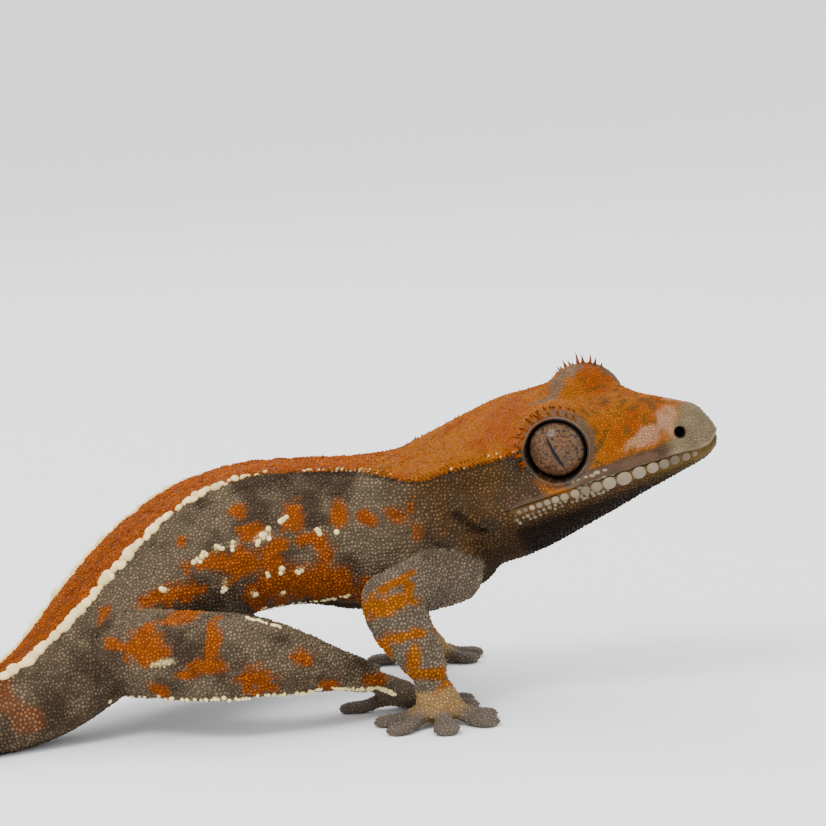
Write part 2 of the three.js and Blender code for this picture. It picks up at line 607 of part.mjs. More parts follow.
const raised = CREST_LINES.flatMap((line) => [...crestSpines(line), ...stripeBeads(line)]);
const crested = new Set(["head", "neck", "thorax", "abdomen", "pelvis"]);
trunkPieces.forEach((piece, i) => {
  const name = TRUNK_NAMES[i];
  const beaded = joined([piece, ...raised.filter(({ row }) => pieceAt(row) === i).map((r) => r.solid)]);
  let solid = largest(plates.reduce((made, plate) => made.subtract(plate), beaded));
  if (name === "head") {
    const [head, jaw] = headAndJaw(solid);
    gecko.add(meshOf("lower_jaw", largest(jaw), "skin"));
    solid = head;
  }
  gecko.add(meshOf(name, largest(solid), crested.has(name) ? "crest" : "skin"));
});

SIDES.forEach((side) => {
  gecko.add(meshOf(side > 0 ? "eye_left" : "eye_right", ball(eyeCentre(side), EYE_RADIUS), "eye"));
});

// Limbs, each cut clear of the trunk
const trunkCutter = bodySolid(GAP);
Object.entries(LIMBS).forEach(([name, limb]) => {
  const [kind, side] = name.split("_");
  const names = kind === "arm" ? ["upper_arm", "forearm", "hand"] : ["thigh", "shank", "foot"];
  limbPieces(name, limb, trunkCutter).forEach((solid, i) => {
    gecko.add(meshOf(`${names[i]}_${side}`, largest(solid), "skin"));
  });
});

// The whole is moved so that its bounding box stands on the origin.
const box = new THREE.Box3().setFromObject(gecko);
const centre = box.getCenter(vec());
gecko.children.forEach((mesh) => mesh.geometry.translate(-centre.x, -centre.y, -box.min.z));

export default gecko;
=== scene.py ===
"""A young crested gecko at life size: its skin, scales, spines, eyes and claws over the solid model.

Lengths are in millimetres in the plan's own frame, with the head towards +X, the animal's left
side towards +Y and the floor at Z = 0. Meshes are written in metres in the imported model's frame.
"""
from __future__ import annotations

import logging
import math
from dataclasses import dataclass, field
from enum import Enum
from typing import Iterable, Sequence

import bmesh
import bpy
import numpy as np
from mathutils import Matrix, Vector
from mathutils.kdtree import KDTree
from numpy.linalg import norm

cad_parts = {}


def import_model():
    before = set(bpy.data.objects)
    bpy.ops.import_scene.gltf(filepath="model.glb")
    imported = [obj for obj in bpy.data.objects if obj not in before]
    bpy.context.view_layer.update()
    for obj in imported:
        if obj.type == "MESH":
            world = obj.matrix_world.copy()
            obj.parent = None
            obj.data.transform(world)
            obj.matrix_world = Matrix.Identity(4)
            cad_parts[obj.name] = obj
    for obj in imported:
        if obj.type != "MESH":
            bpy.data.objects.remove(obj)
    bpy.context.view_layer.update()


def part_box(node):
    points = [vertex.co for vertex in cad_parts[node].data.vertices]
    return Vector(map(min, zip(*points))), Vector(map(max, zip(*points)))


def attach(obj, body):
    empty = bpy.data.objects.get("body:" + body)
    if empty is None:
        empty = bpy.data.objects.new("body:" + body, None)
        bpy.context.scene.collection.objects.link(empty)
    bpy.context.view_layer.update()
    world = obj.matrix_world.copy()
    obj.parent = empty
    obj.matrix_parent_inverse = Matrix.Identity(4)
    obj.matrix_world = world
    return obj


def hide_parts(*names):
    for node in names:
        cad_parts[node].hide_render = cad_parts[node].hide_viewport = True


LOG = logging.getLogger("gecko")
MM = 0.001
Array = np.ndarray
Piece = bpy.types.Object
Socket = bpy.types.NodeSocket
Triple = tuple[float, float, float]
Colour = tuple[float, float, float, float]


def unit(vectors: Array) -> Array:
    """Scale each vector to length one."""
    return vectors / np.maximum(norm(vectors, axis=-1, keepdims=True), 1e-9)


def smooth(low: float, high: float, value: Array) -> Array:
    """Rise smoothly from 0 at low to 1 at high."""
    t = np.clip((value - low) / (high - low), 0.0, 1.0)
    return t * t * (3.0 - 2.0 * t)


def srgb(code: str) -> Colour:
    """Turn a six-digit colour code into a linear colour with full alpha."""
    parts = [int(code[i:i + 2], 16) / 255.0 for i in (0, 2, 4)]
    return (*(c / 12.92 if c <= 0.04045 else ((c + 0.055) / 1.055) ** 2.4 for c in parts), 1.0)


class Side(Enum):
    """Which half of the body a piece belongs to, as the sign of its place across."""

    LEFT = 1
    RIGHT = -1


# Plan of the body


@dataclass(frozen=True)
class HeadAxes:
    """The head's own axes: forward, left and up from halfway between the eyes."""

    origin: Triple = (15.9, -3.4, 24.9)
    yaw: float = -22.0
    pitch: float = 8.0
    roll: float = 17.0

    def basis(self) -> Array:
        """Return forward, left and up as rows."""
        yaw, pitch, roll = (math.radians(a) for a in (self.yaw, -self.pitch, self.roll))
        turn = Matrix.Rotation(yaw, 3, "Z") @ Matrix.Rotation(pitch, 3, "Y") @ Matrix.Rotation(roll, 3, "X")
        return np.array(turn.transposed())

    def place(self, points: Array) -> Array:
        """Bring points from the head's axes into the plan."""
        return np.asarray(self.origin) + np.asarray(points, float) @ self.basis()

    def local(self, points: Array) -> Array:
        """Bring points from the plan into the head's axes."""
        return (np.asarray(points, float) - np.asarray(self.origin)) @ self.basis().T


HEAD = HeadAxes()

# Stations of the head from the snout back: how far forward, then where its lines lie across and up,
# from crown to chin, in the head's axes.
HEAD_ROWS = (
    (12.25, (0, 0.6, 0.9, 1.1, 1.2, 1.1, 0.7, 0), (-2.7, -2.75, -3.0, -3.4, -3.8, -4.3, -4.7, -4.9)),
    (11.6, (0, 1.3, 1.8, 2.15, 2.3, 2.2, 1.6, 0), (-1.5, -2.1, -2.6, -3.1, -3.6, -4.2, -4.9, -5.3)),
    (10.3, (0, 2.0, 2.65, 3.0, 3.35, 3.3, 2.5, 0), (-0.45, -1.25, -1.9, -2.6, -3.3, -4.1, -5.15, -5.8)),
    (8.3, (0, 2.6, 3.3, 3.9, 4.5, 4.5, 3.5, 0), (0.25, -0.7, -1.6, -2.5, -3.2, -4.2, -5.5, -6.4)),
    (5.6, (0, 3.2, 3.9, 4.6, 5.7, 5.8, 4.5, 0), (0.95, 0.05, -0.95, -2.0, -3.0, -4.2, -6.1, -7.2)),
    (3.2, (0, 4.1, 4.8, 5.3, 6.6, 6.8, 5.3, 0), (1.4, 1.2, 0.1, -1.3, -2.9, -4.2, -6.8, -8.0)),
    (0.6, (0, 5.7, 6.2, 6.3, 7.4, 7.6, 5.9, 0), (1.7, 2.2, 1.0, -0.9, -2.8, -4.3, -7.5, -8.8)),
    (-2.6, (0, 7.5, 7.4, 7.3, 8.4, 8.5, 6.3, 0), (1.9, 1.0, -0.1, -1.6, -3.1, -4.6, -8.6, -9.8)),
    (-6.0, (0, 7.6, 7.6, 7.6, 8.9, 8.8, 6.2, 0), (1.8, 0.4, -0.7, -2.2, -3.6, -5.4, -9.6, -10.8)),
    (-9.4, (0, 7.4, 7.5, 7.4, 8.1, 7.8, 5.6, 0), (1.3, 0.1, -0.9, -2.4, -4.1, -6.4, -10.4, -11.6)),
)

# Stations of the neck, trunk and tail: middle, half width, up, down, crest's place across, and the
# roll in degrees.
BODY_ROWS = (
    ((4.4, 1.4, 16.3), 6.8, 6.2, 6.6, 6.4, 10),
    ((0.6, 1.9, 15.3), 7.2, 6.5, 7.2, 5.7, 4),
    ((-3.9, 2.1, 15.3), 7.6, 6.5, 6.9, 4.6, 0),
    ((-8.6, 2.0, 15.7), 8.0, 6.3, 6.4, 4.2, 0),
    ((-12.8, 1.5, 15.6), 8.2, 6.5, 6.4, 4.1, 0),
    ((-16.7, 0.7, 14.7), 8.1, 6.5, 6.2, 4.1, 0),
    ((-20.6, -0.6, 13.1), 7.6, 6.0, 5.9, 3.7, 0),
    ((-23.9, -2.2, 11.1), 6.9, 5.5, 5.5, 3.2, 0),
    ((-27.0, -4.2, 8.8), 6.3, 5.0, 5.0, 2.8, 0),
    ((-30.0, -6.3, 6.4), 5.6, 4.5, 4.5, 2.3, 0),
    ((-32.8, -8.3, 4.6), 4.8, 4.0, 4.1, 1.9, 0),
    ((-36.2, -10.5, 3.45), 4.0, 3.5, 3.6, 1.6, 0),
    ((-40.6, -13.2, 3.0), 3.4, 3.05, 3.15, 1.5, 0),
    ((-47.0, -16.0, 2.65), 3.0, 2.7, 2.8, 1.3, 0),
    ((-55.0, -17.4, 2.25), 2.6, 2.3, 2.4, 1.1, 0),
    ((-63.5, -16.4, 1.9), 2.2, 1.95, 2.05, 0.95, 0),
    ((-71.5, -12.6, 1.5), 1.8, 1.55, 1.65, 0.8, 0),
    ((-77.6, -7.0, 1.15), 1.4, 1.2, 1.3, 0.6, 0),
    ((-81.4, -0.6, 0.85), 1.05, 0.85, 1.0, 0.45, 0),
    ((-82.9, 4.2, 0.65), 1.1, 0.65, 0.8, 0.5, 0),
    ((-83.0, 6.6, 0.55), 0.8, 0.5, 0.7, 0.35, 0),
    ((-82.9, 7.5, 0.5), 0.3, 0.3, 0.5, 0.15, 0),
)
HEAD_END_ROW = 11.0  # where head turns into neck, counted in rows from the snout
FLANK_ROW = 13.6  # where shoulder turns into flank
HIP_ROW = 16.6  # where flank turns into hip
TAIL_BASE_ROW = 20.6  # where trunk turns into tail
LINES = 14  # lines of the skin round the body; 0 is the crown, 1 and 13 the crests, 7 the belly
PER_LINE = 6  # points of the surface from one line to the next
ROW_SPACING = 0.6  # distance between the surface's rings


@dataclass
class Trunk:
    """The one smooth surface of head, trunk and tail, by row along it and line round it."""

    controls: Array = field(init=False)
    knots: Array = field(init=False)

    def __post_init__(self) -> None:
        """Work out the control points of every row and the knots between rows."""
        _, left, up = HEAD.basis()
        middles = [HEAD.place((x, 0, -4)) for x, _, _ in HEAD_ROWS]
        rings = [self._ring(HEAD.place((x, 0, 0)), left, up, list(zip(wide, high)))
                 for x, wide, high in HEAD_ROWS]
        spine = np.array([HEAD.place((HEAD_ROWS[-1][0], 0, -5))] + [row[0] for row in BODY_ROWS])
        for i, row in enumerate(BODY_ROWS):
            ahead = -self._tangent(spine, i + 1)
            side = unit(np.cross((0.0, 0.0, 1.0), ahead))
            side = np.array(Matrix.Rotation(math.radians(row[5]), 3, Vector(ahead)) @ Vector(side))
            middles.append(np.array(row[0]))
            rings.append(self._ring(middles[-1], side, np.cross(ahead, side), self._lines(*row[1:5])))
        self.controls = np.array(rings)
        steps = np.sqrt(norm(np.diff(np.array(middles), axis=0), axis=1))
        self.knots = np.concatenate([[0.0], np.cumsum(steps)])

    @staticmethod
    def _lines(wide: float, up: float, down: float, crest: float) -> list[tuple[float, float]]:
        """Give one body section's lines from its few sizes.

        Args:
            wide: half width.
            up: height of the crown over the middle.
            down: depth of the belly under it.
            crest: the crest's place across.

        Returns:
            Places of the lines as (across, up), crown to belly.
        """
        ledge = min(crest + 0.13 * wide, 0.98 * wide)
        return [(0, up), (crest, up - 0.03 * wide), (ledge, 0.8 * up), (max(0.92 * wide, ledge), 0.4 * up),
                (wide, -0.12 * down), (0.9 * wide, -0.58 * down), (0.55 * wide, -0.9 * down), (0, -down)]

    @staticmethod
    def _ring(middle: Array, left: Array, up: Array, lines: Sequence[tuple[float, float]]) -> Array:
        """Place a section's lines down the left side and back up the right.

        Args:
            middle: the section's middle.
            left: direction to the left.
            up: direction up.
            lines: places of its lines as (across, up), crown to belly.

        Returns:
            One ring of LINES points.
        """
        half = np.array(lines, float)
        mirrored = half[1:-1][::-1] * (-1, 1)
        both = np.concatenate([half, mirrored])
        return middle + both[:, :1] * left + both[:, 1:] * up

    @staticmethod
    def _tangent(points: Array, i: int) -> Array:
        """Direction of the smooth curve through the points at point i, of length one."""
        after = points[i + 1] if i + 1 < len(points) else 2 * points[i] - points[i - 1]
        a = math.sqrt(norm(points[i] - points[i - 1]))
        b = math.sqrt(norm(after - points[i]))
        slope = (points[i] - points[i - 1]) / a - (after - points[i - 1]) / (a + b) + (after - points[i]) / b
        return unit(slope)

    def rings(self, rows: Array) -> Array:
        """Control rings at fractional rows.

        Args:
            rows: fractional row numbers, counted from the snout.

        Returns:
            Points of shape (rows, LINES, 3).
        """
        rows = np.atleast_1d(np.asarray(rows, float))
        base = np.clip(np.floor(rows).astype(int), 0, len(self.knots) - 2)
        t = self.knots[base] + (rows - base) * (self.knots[base + 1] - self.knots[base])
        slope = np.empty_like(self.controls)
        spans = (self.knots[2:] - self.knots[:-2])[:, None, None]
        slope[1:-1] = (self.controls[2:] - self.controls[:-2]) / spans
        slope[0] = (self.controls[1] - self.controls[0]) / (self.knots[1] - self.knots[0])
        slope[-1] = (self.controls[-1] - self.controls[-2]) / (self.knots[-1] - self.knots[-2])
        width = (self.knots[base + 1] - self.knots[base])[:, None, None]
        s = (t - self.knots[base])[:, None, None] / width
        near = self.controls[base] * (2 * s**3 - 3 * s**2 + 1) + slope[base] * width * (s**3 - 2 * s**2 + s)
        far = self.controls[base + 1] * (3 * s**2 - 2 * s**3) + slope[base + 1] * width * (s**3 - s**2)
        return near + far

    def surface(self, rows: Array, per_line: int) -> Array:
        """Smooth rings through the control lines.

        Args:
            rows: fractional row numbers.
            per_line: points from one line to the next.

        Returns:
            Points of shape (rows, LINES * per_line, 3).
        """
        p1 = self.rings(rows)
        p0, p2, p3 = np.roll(p1, 1, 1), np.roll(p1, -1, 1), np.roll(p1, -2, 1)
        gaps = (p1 - p0, p2 - p1, p3 - p2)
        d0, d1, d2 = (np.sqrt(norm(gap, axis=-1, keepdims=True)) for gap in gaps)
        t1 = ((p1 - p0) / d0 - (p2 - p0) / (d0 + d1) + (p2 - p1) / d1) * d1
        t2 = ((p2 - p1) / d1 - (p3 - p1) / (d1 + d2) + (p3 - p2) / d2) * d1
        s = (np.arange(per_line) / per_line)[None, None, :, None]
        p1, p2, t1, t2 = (a[:, :, None, :] for a in (p1, p2, t1, t2))
        points = p1 + t1 * s + (3 * (p2 - p1) - 2 * t1 - t2) * s**2 + (2 * (p1 - p2) + t1 + t2) * s**3
        return points.reshape(len(points), -1, 3)

    def rows_every(self, spacing: float) -> Array:
        """Find fractional rows whose middles lie evenly.

        Args:
            spacing: about how far apart.

        Returns:
            The rows, from the snout back.
        """
        fine = np.linspace(0, len(self.knots) - 1, 2000)
        middles = self.rings(fine).mean(axis=1)
        walked = np.concatenate([[0], np.cumsum(norm(np.diff(middles, axis=0), axis=1))])
        return np.interp(np.arange(0, walked[-1], spacing), walked, fine)

    def along(self, line: float, first: float, last: float,
              spacing: float) -> tuple[Array, Array, Array, Array]:
        """Walk a line of the skin.

        Args:
            line: which line, fractional from 0 to LINES.
            first: row to start at.
            last: row to end at.
            spacing: distance between the found points.

        Returns:
            Points, outward directions, directions along the line, and rows.
        """
        per_line = 8
        fine = np.linspace(first, last, 900)
        rings = self.surface(fine, per_line)
        path = rings[:, int(round(line * per_line)) % (LINES * per_line)]
        walked = np.concatenate([[0], np.cumsum(norm(np.diff(path, axis=0), axis=1))])
        wanted = np.arange(spacing / 2, walked[-1], spacing)
        picks = np.interp(wanted, walked, np.arange(len(fine))).astype(int)
        ahead = unit(np.gradient(path, axis=0))[picks]
        out = unit(path - rings.mean(axis=1))[picks]
        return path[picks], out, ahead, fine[picks]


# Mesh helpers


def tube(sections: Array) -> tuple[Array, list[tuple[int, ...]]]:
    """Close a row of rings into a solid.

    Args:
        sections: points of shape (rings, points, 3).

    Returns:
        Vertices and faces.
    """
    rings, count, _ = sections.shape
    points = np.concatenate([sections.reshape(-1, 3), sections[:1].mean(axis=1), sections[-1:].mean(axis=1)])
    faces = []
    for i in range(rings - 1):
        for j in range(count):
            k = (j + 1) % count
            faces.append((i * count + j, i * count + k, (i + 1) * count + k, (i + 1) * count + j))
    first, last, end = rings * count, rings * count + 1, (rings - 1) * count
    for j in range(count):
        k = (j + 1) % count
        faces.append((first, k, j))
        faces.append((last, end + j, end + k))
    return points, faces


def link(made: Piece) -> Piece:
    """Put an object into the scene."""
    bpy.context.scene.collection.objects.link(made)
    return made


def new_object(name: str, points: Array, faces: Iterable[Sequence[int]]) -> Piece:
    """Make an object whose faces point outwards.

    Args:
        name: name of the object and its mesh.
        points: places of its vertices.
        faces: numbers of the vertices round each face.

    Returns:
        The object, in the scene.
    """
    mesh = bpy.data.meshes.new(name)
    mesh.from_pydata([tuple(p) for p in points], [], [tuple(f) for f in faces])
    work = bmesh.new()
    work.from_mesh(mesh)
    bmesh.ops.recalc_face_normals(work, faces=work.faces)
    work.to_mesh(mesh)
    work.free()
    mesh.shade_smooth()
    return link(bpy.data.objects.new(name, mesh))


def settle(made: Piece) -> Piece:
    """Turn an object with modifiers into a plain mesh.

    Args:
        made: the object, whose modifiers go.

    Returns:
        The same object.
    """
    bpy.context.view_layer.update()
    evaluated = made.evaluated_get(bpy.context.evaluated_depsgraph_get())
    mesh = bpy.data.meshes.new_from_object(evaluated)
    made.modifiers.clear()
    old = made.data
    made.data = mesh
    bpy.data.meshes.remove(old)
    return made


def add_attribute(mesh: bpy.types.Mesh, name: str, kind: str, values: Array) -> None:
    """Store one value for each vertex.

    Args:
        mesh: mesh that takes the values.
        name: name they are kept under.
        kind: Blender's name of their type.
        values: one number, direction or colour a vertex.
    """
    layer = mesh.attributes.new(name, kind, "POINT")
    key = {"FLOAT": "value", "INT": "value", "FLOAT_VECTOR": "vector", "FLOAT_COLOR": "color"}[kind]
    plain = np.ascontiguousarray(values, dtype=np.int32 if kind == "INT" else np.float32)
    layer.data.foreach_set(key, plain.ravel())


def catmull(points: Array, t: Array) -> Array:
    """Follow a smooth curve through evenly spaced points.

    Args:
        points: the curve's points, of any number of dimensions.
        t: shares of the way along it, from 0 to 1.

    Returns:
        One value or point for each share.
    """
    points = np.asarray(points, float)
    padded = np.concatenate([2 * points[:1] - points[1:2], points, 2 * points[-1:] - points[-2:-1]])
    place = np.clip(t, 0, 1) * (len(points) - 1)
    i = np.minimum(place.astype(int), len(points) - 2)
    s = (place - i).reshape((-1,) + (1,) * (points.ndim - 1))
    a, b, c, d = padded[i], padded[i + 1], padded[i + 2], padded[i + 3]
    return b + 0.5 * s * (c - a + s * (2 * a - 5 * b + 4 * c - d + s * (3 * (b - c) + d - a)))


SCATTER = (73856093, 19349663, 83492791)  # large numbers that give every cell of space its own key


def lattice_noise(points: Array, size: float, seed: int = 0) -> Array:
    """Give smooth random values.

    Args:
        points: where they are wanted, shape (n, 3).
        size: about how large the lumps are.
        seed: which pattern it is.

    Returns:
        One value from 0 to 1 for each point.
    """
    place = np.asarray(points, float) / size
    cell = np.floor(place).astype(np.int64)
    s = place - cell
    s = s * s * (3 - 2 * s)
    total = np.zeros(len(place))
    for corner in range(8):
        step = np.array([(corner >> k) & 1 for k in range(3)])
        weight = np.prod(np.where(step, s, 1 - s), axis=1)
        key = (cell + step) @ np.array(SCATTER) + seed * 2654435761
        key = (key ^ (key >> 13)) * 1274126177 & 0x7FFFFFFF
        key = (key ^ (key >> 16)) * 668265263 & 0x7FFFFFFF
        total += weight * ((key >> 7) % 65536) / 65536.0
    return total


# Limbs


@dataclass(frozen=True)
class Build:
    """Girths of one kind of limb and lengths of its digits, the same left and right."""

    upper: tuple[float, ...]
    lower: tuple[float, ...]
    palm_radius: float
    lengths: tuple[float, ...]
    pad_width: float = 2.5


ARM = Build((2.9, 2.7, 2.45, 2.3, 2.2), (2.2, 2.55, 2.5, 2.1, 1.75), 2.35, (5.2, 6.0, 6.3, 6.3, 5.8))
LEG = Build((3.2, 3.5, 3.4, 3.0, 2.6), (2.6, 2.85, 2.5, 1.9, 1.45), 2.0, (5.2, 6.2, 7.0, 7.0, 5.8))
DIGIT_STATIONS = (  # share of the length, height, half width as a share of the pad's, half thickness
    (-0.05, 1.5, 0.65, 0.72), (0.36, 1.05, 0.6, 0.66), (0.56, 0.6, 0.7, 0.6),
    (0.76, 0.46, 1.0, 0.54), (0.93, 0.4, 0.84, 0.45), (1.0, 0.34, 0.36, 0.2),
)


@dataclass(frozen=True)
class Limb:
    """One arm or leg: places of its joints, and the directions of its digits in degrees."""

    build: Build
    root: Triple
    bend: Triple
    end: Triple
    palm: Triple
    digits: tuple[float, ...]

    def bones(self) -> list[tuple[Array, Array, tuple[float, ...], float]]:
        """Give each length of flesh as its ends, its radii and how flat it is."""
        palm = self.build.palm_radius
        places = [np.array(p) for p in (self.root, self.bend, self.end, self.palm)]
        girths = (self.build.upper, self.build.lower, (palm * 0.62, palm * 0.8, palm))
        return [(a, b, g, f) for a, b, g, f in zip(places, places[1:], girths, (1.0, 1.0, 0.62))]

    def flesh(self) -> list[tuple[Array, list[tuple[int, ...]]]]:
        """Build every closed length of the limb as vertices and faces."""
        parts = [tube(self._bone(*bone)) for bone in self.bones()]
        parts += [tube(self._digit(angle, length)) for angle, length in zip(self.digits, self.build.lengths)]
        if self.build is LEG:
            parts.append(tube(self._web()))
        return parts

    @staticmethod
    def _bone(start: Array, stop: Array, radii: tuple[float, ...], flat: float) -> Array:
        """Lay rings round a straight length of flesh with rounded ends.

        Args:
            start: middle of its first end.
            stop: middle of its last end.
            radii: girths at even steps along it.
            flat: height as a share of its width.

        Returns:
            Points of shape (rings, points, 3).
        """
        axis = stop - start
        length = norm(axis)
        along = axis / length
        up = unit(np.array((0.0, 0.0, 1.0)) - along[2] * along)
        across = np.cross(along, up)
        turn = (np.linspace(0.05, 1, 6) * math.pi / 2)[:-1]
        shares = np.linspace(0, 1, 16)
        girth = catmull(np.array(radii), shares)
        cap = 0.75  # how far each end is rounded out, as a share of its radius
        heights = np.concatenate([-cap * radii[0] * np.cos(turn), shares * length,
                                  length + cap * radii[-1] * np.cos(turn[::-1])])
        sizes = np.concatenate([radii[0] * np.sin(turn), girth, radii[-1] * np.sin(turn[::-1])])
        round_way = np.linspace(0, 2 * math.pi, 24, endpoint=False)
        ring = np.cos(round_way)[:, None] * across + np.sin(round_way)[:, None] * up * flat
        return start + heights[:, None, None] * along + sizes[:, None, None] * ring

    def frame_of(self, angle: float) -> tuple[Array, Array, Array]:
        """Root on the floor, direction and crosswise direction of a digit."""
        along = np.array((math.cos(math.radians(angle)), math.sin(math.radians(angle)), 0.0))
        return np.array((self.palm[0], self.palm[1], 0.0)), along, np.array((-along[1], along[0], 0.0))

    def _digit(self, angle: float, length: float) -> Array:
        """Lay rings round one digit with its broad pad.

        Args:
            angle: its direction in degrees.
            length: how far it reaches from the palm.

        Returns:
            Points of shape (rings, points, 3).
        """
        root, along, across = self.frame_of(angle)
        share, height, wide, thick = catmull(np.array(DIGIT_STATIONS), np.linspace(0, 1, 22)).T
        turn = np.linspace(0, 2 * math.pi, 20, endpoint=False)
        ring = (np.cos(turn)[None, :, None] * across * (wide * self.build.pad_width / 2)[:, None, None]
                + np.sin(turn)[None, :, None] * np.array((0, 0, 1.0)) * thick[:, None, None])
        middle = root + (share * length)[:, None] * along + height[:, None] * np.array((0, 0, 1.0))
        return middle[:, None, :] + ring

    def _web(self) -> Array:
        """Rings across the thin fold of skin between thigh and shank."""
        outward = math.copysign(1.0, self.bend[1])
        tops = np.array((self.root, self.bend, self.end))
        lows = np.array([(p[0], p[1] + outward * out, z)
                         for p, z, out in zip(tops, (3.6, 3.5, 2.9), (0.6, -0.4, -0.2))])
        normal = unit(np.cross(tops[1] - tops[0], lows[1] - tops[0]))
        t = np.linspace(0, 1, 26)
        upper, lower = catmull(tops, t), catmull(lows, t)
        grow = 0.35 + 0.65 * np.sqrt(np.sin(math.pi * np.minimum(1, 0.12 + t * 0.8)))
        turn = np.linspace(0, 2 * math.pi, 20, endpoint=False)
        down = ((1 - np.cos(turn)) / 2)[None, :, None]
        thick = 1.15 * (1.15 - 0.6 * down) * grow[:, None, None]
        swell = np.sin(turn)[None, :, None] * thick * normal
        return upper[:, None] * (1 - down) + lower[:, None] * down + swell

    def claws(self) -> list[tuple[Array, Array, float]]:
        """Root, direction and length of each claw."""
        found = []
        for angle, length in zip(self.digits, self.build.lengths):
            root, along, _ = self.frame_of(angle)
            tip = root + along * length * 0.93 + (0, 0, 0.55)
            found.append((tip, unit(along - (0, 0, 0.12)), 0.1 * length + 0.15))
        return found


LIMBS = (  # right arm, left arm, right leg, left leg
    Limb(ARM, (4.4, -3.2, 11.9), (-1.9, -10.4, 11.0), (1.6, -11.4, 4.7), (2.3, -12.2, 1.75),
         (10, -34, -84, -134, 176)),
    Limb(ARM, (4.0, 6.8, 12.2), (-2.6, 13.4, 11.0), (0.4, 15.8, 4.6), (1.4, 17.2, 1.75),
         (-14, 26, 70, 118, 166)),
    Limb(LEG, (-26.6, -7.4, 7.4), (-15.6, -14.6, 8.9), (-4.0, -8.4, 3.9), (-1.0, -5.8, 1.7),
         (84, 52, 22, -8, 164)),
    Limb(LEG, (-29.6, -1.8, 7.2), (-21.8, 9.2, 9.3), (-13.0, 12.0, 3.8), (-9.6, 12.8, 1.7),
         (-74, -42, -12, 16, 140)),
)
FIRST_LEG = 2  # arms come before legs, and the right one of each pair before the left


# Eyes


@dataclass(frozen=True)
class EyePlan:
    """Place and size of one eye, and of the swelling that carries its rim."""

    side: Side
    radius: float = 2.9
    lateral: float = 4.75
    drop: float = 0.3
    orbit_radius: float = 3.7
    orbit_depth: float = 0.85
    opening: float = 2.62

    def centre(self) -> Array:
        """Middle of the ball in the plan."""
        return HEAD.place((0, self.side.value * self.lateral, -self.drop))

    def axes(self) -> tuple[Array, Array, Array]:
        """Directions out of the pupil, forward and up, square to one another."""
        out = unit(np.array((0.16, self.side.value, 0.12)) @ HEAD.basis())
        up = HEAD.basis()[2]
        up = unit(up - (up @ out) * out)
        return out, np.cross(up, out) * -self.side.value, up

    def reach(self, points: Array) -> tuple[Array, Array, Array]:
        """Tell where points lie on the eye.

        Args:
            points: places in the plan, shape (n, 3).

        Returns:
            Distance of each from the eye's axis, whether it lies at the eye's front, and how far
            forward it is.
        """
        out, ahead, _ = self.axes()
        away = points - self.centre()
        depth = away @ out
        aside = norm(away - depth[:, None] * out, axis=1)
        return aside, (depth > 0) & (norm(away, axis=1) < 4.8), away @ ahead

    def orbit(self) -> Array:
        """Middle of the swelling."""
        return self.centre() - self.axes()[0] * self.orbit_depth


EYES = (EyePlan(Side.RIGHT), EyePlan(Side.LEFT))


MOUTH_CORNER = -5.2
MOUTH_LINE = (  # how far forward and how high it lies in the head's axes, from its corner to the snout
    (MOUTH_CORNER, -4.1), (-3.0, -3.85), (0.0, -3.65), (3.0, -3.5), (7.0, -3.45), (10.3, -3.65),
    (12.0, -4.1), (14.0, -4.3),
)
NOSTRIL = (10.3, 2.55, -1.95)  # the left one, in the head's axes
NOSTRIL_RUN = (-0.55, -1.0, -0.25)  # the way its hole goes in


def mouth_height(forward: Array) -> Array:
    """Height of the line of the mouth in the head's axes."""
    return np.interp(forward, *np.array(MOUTH_LINE).T)


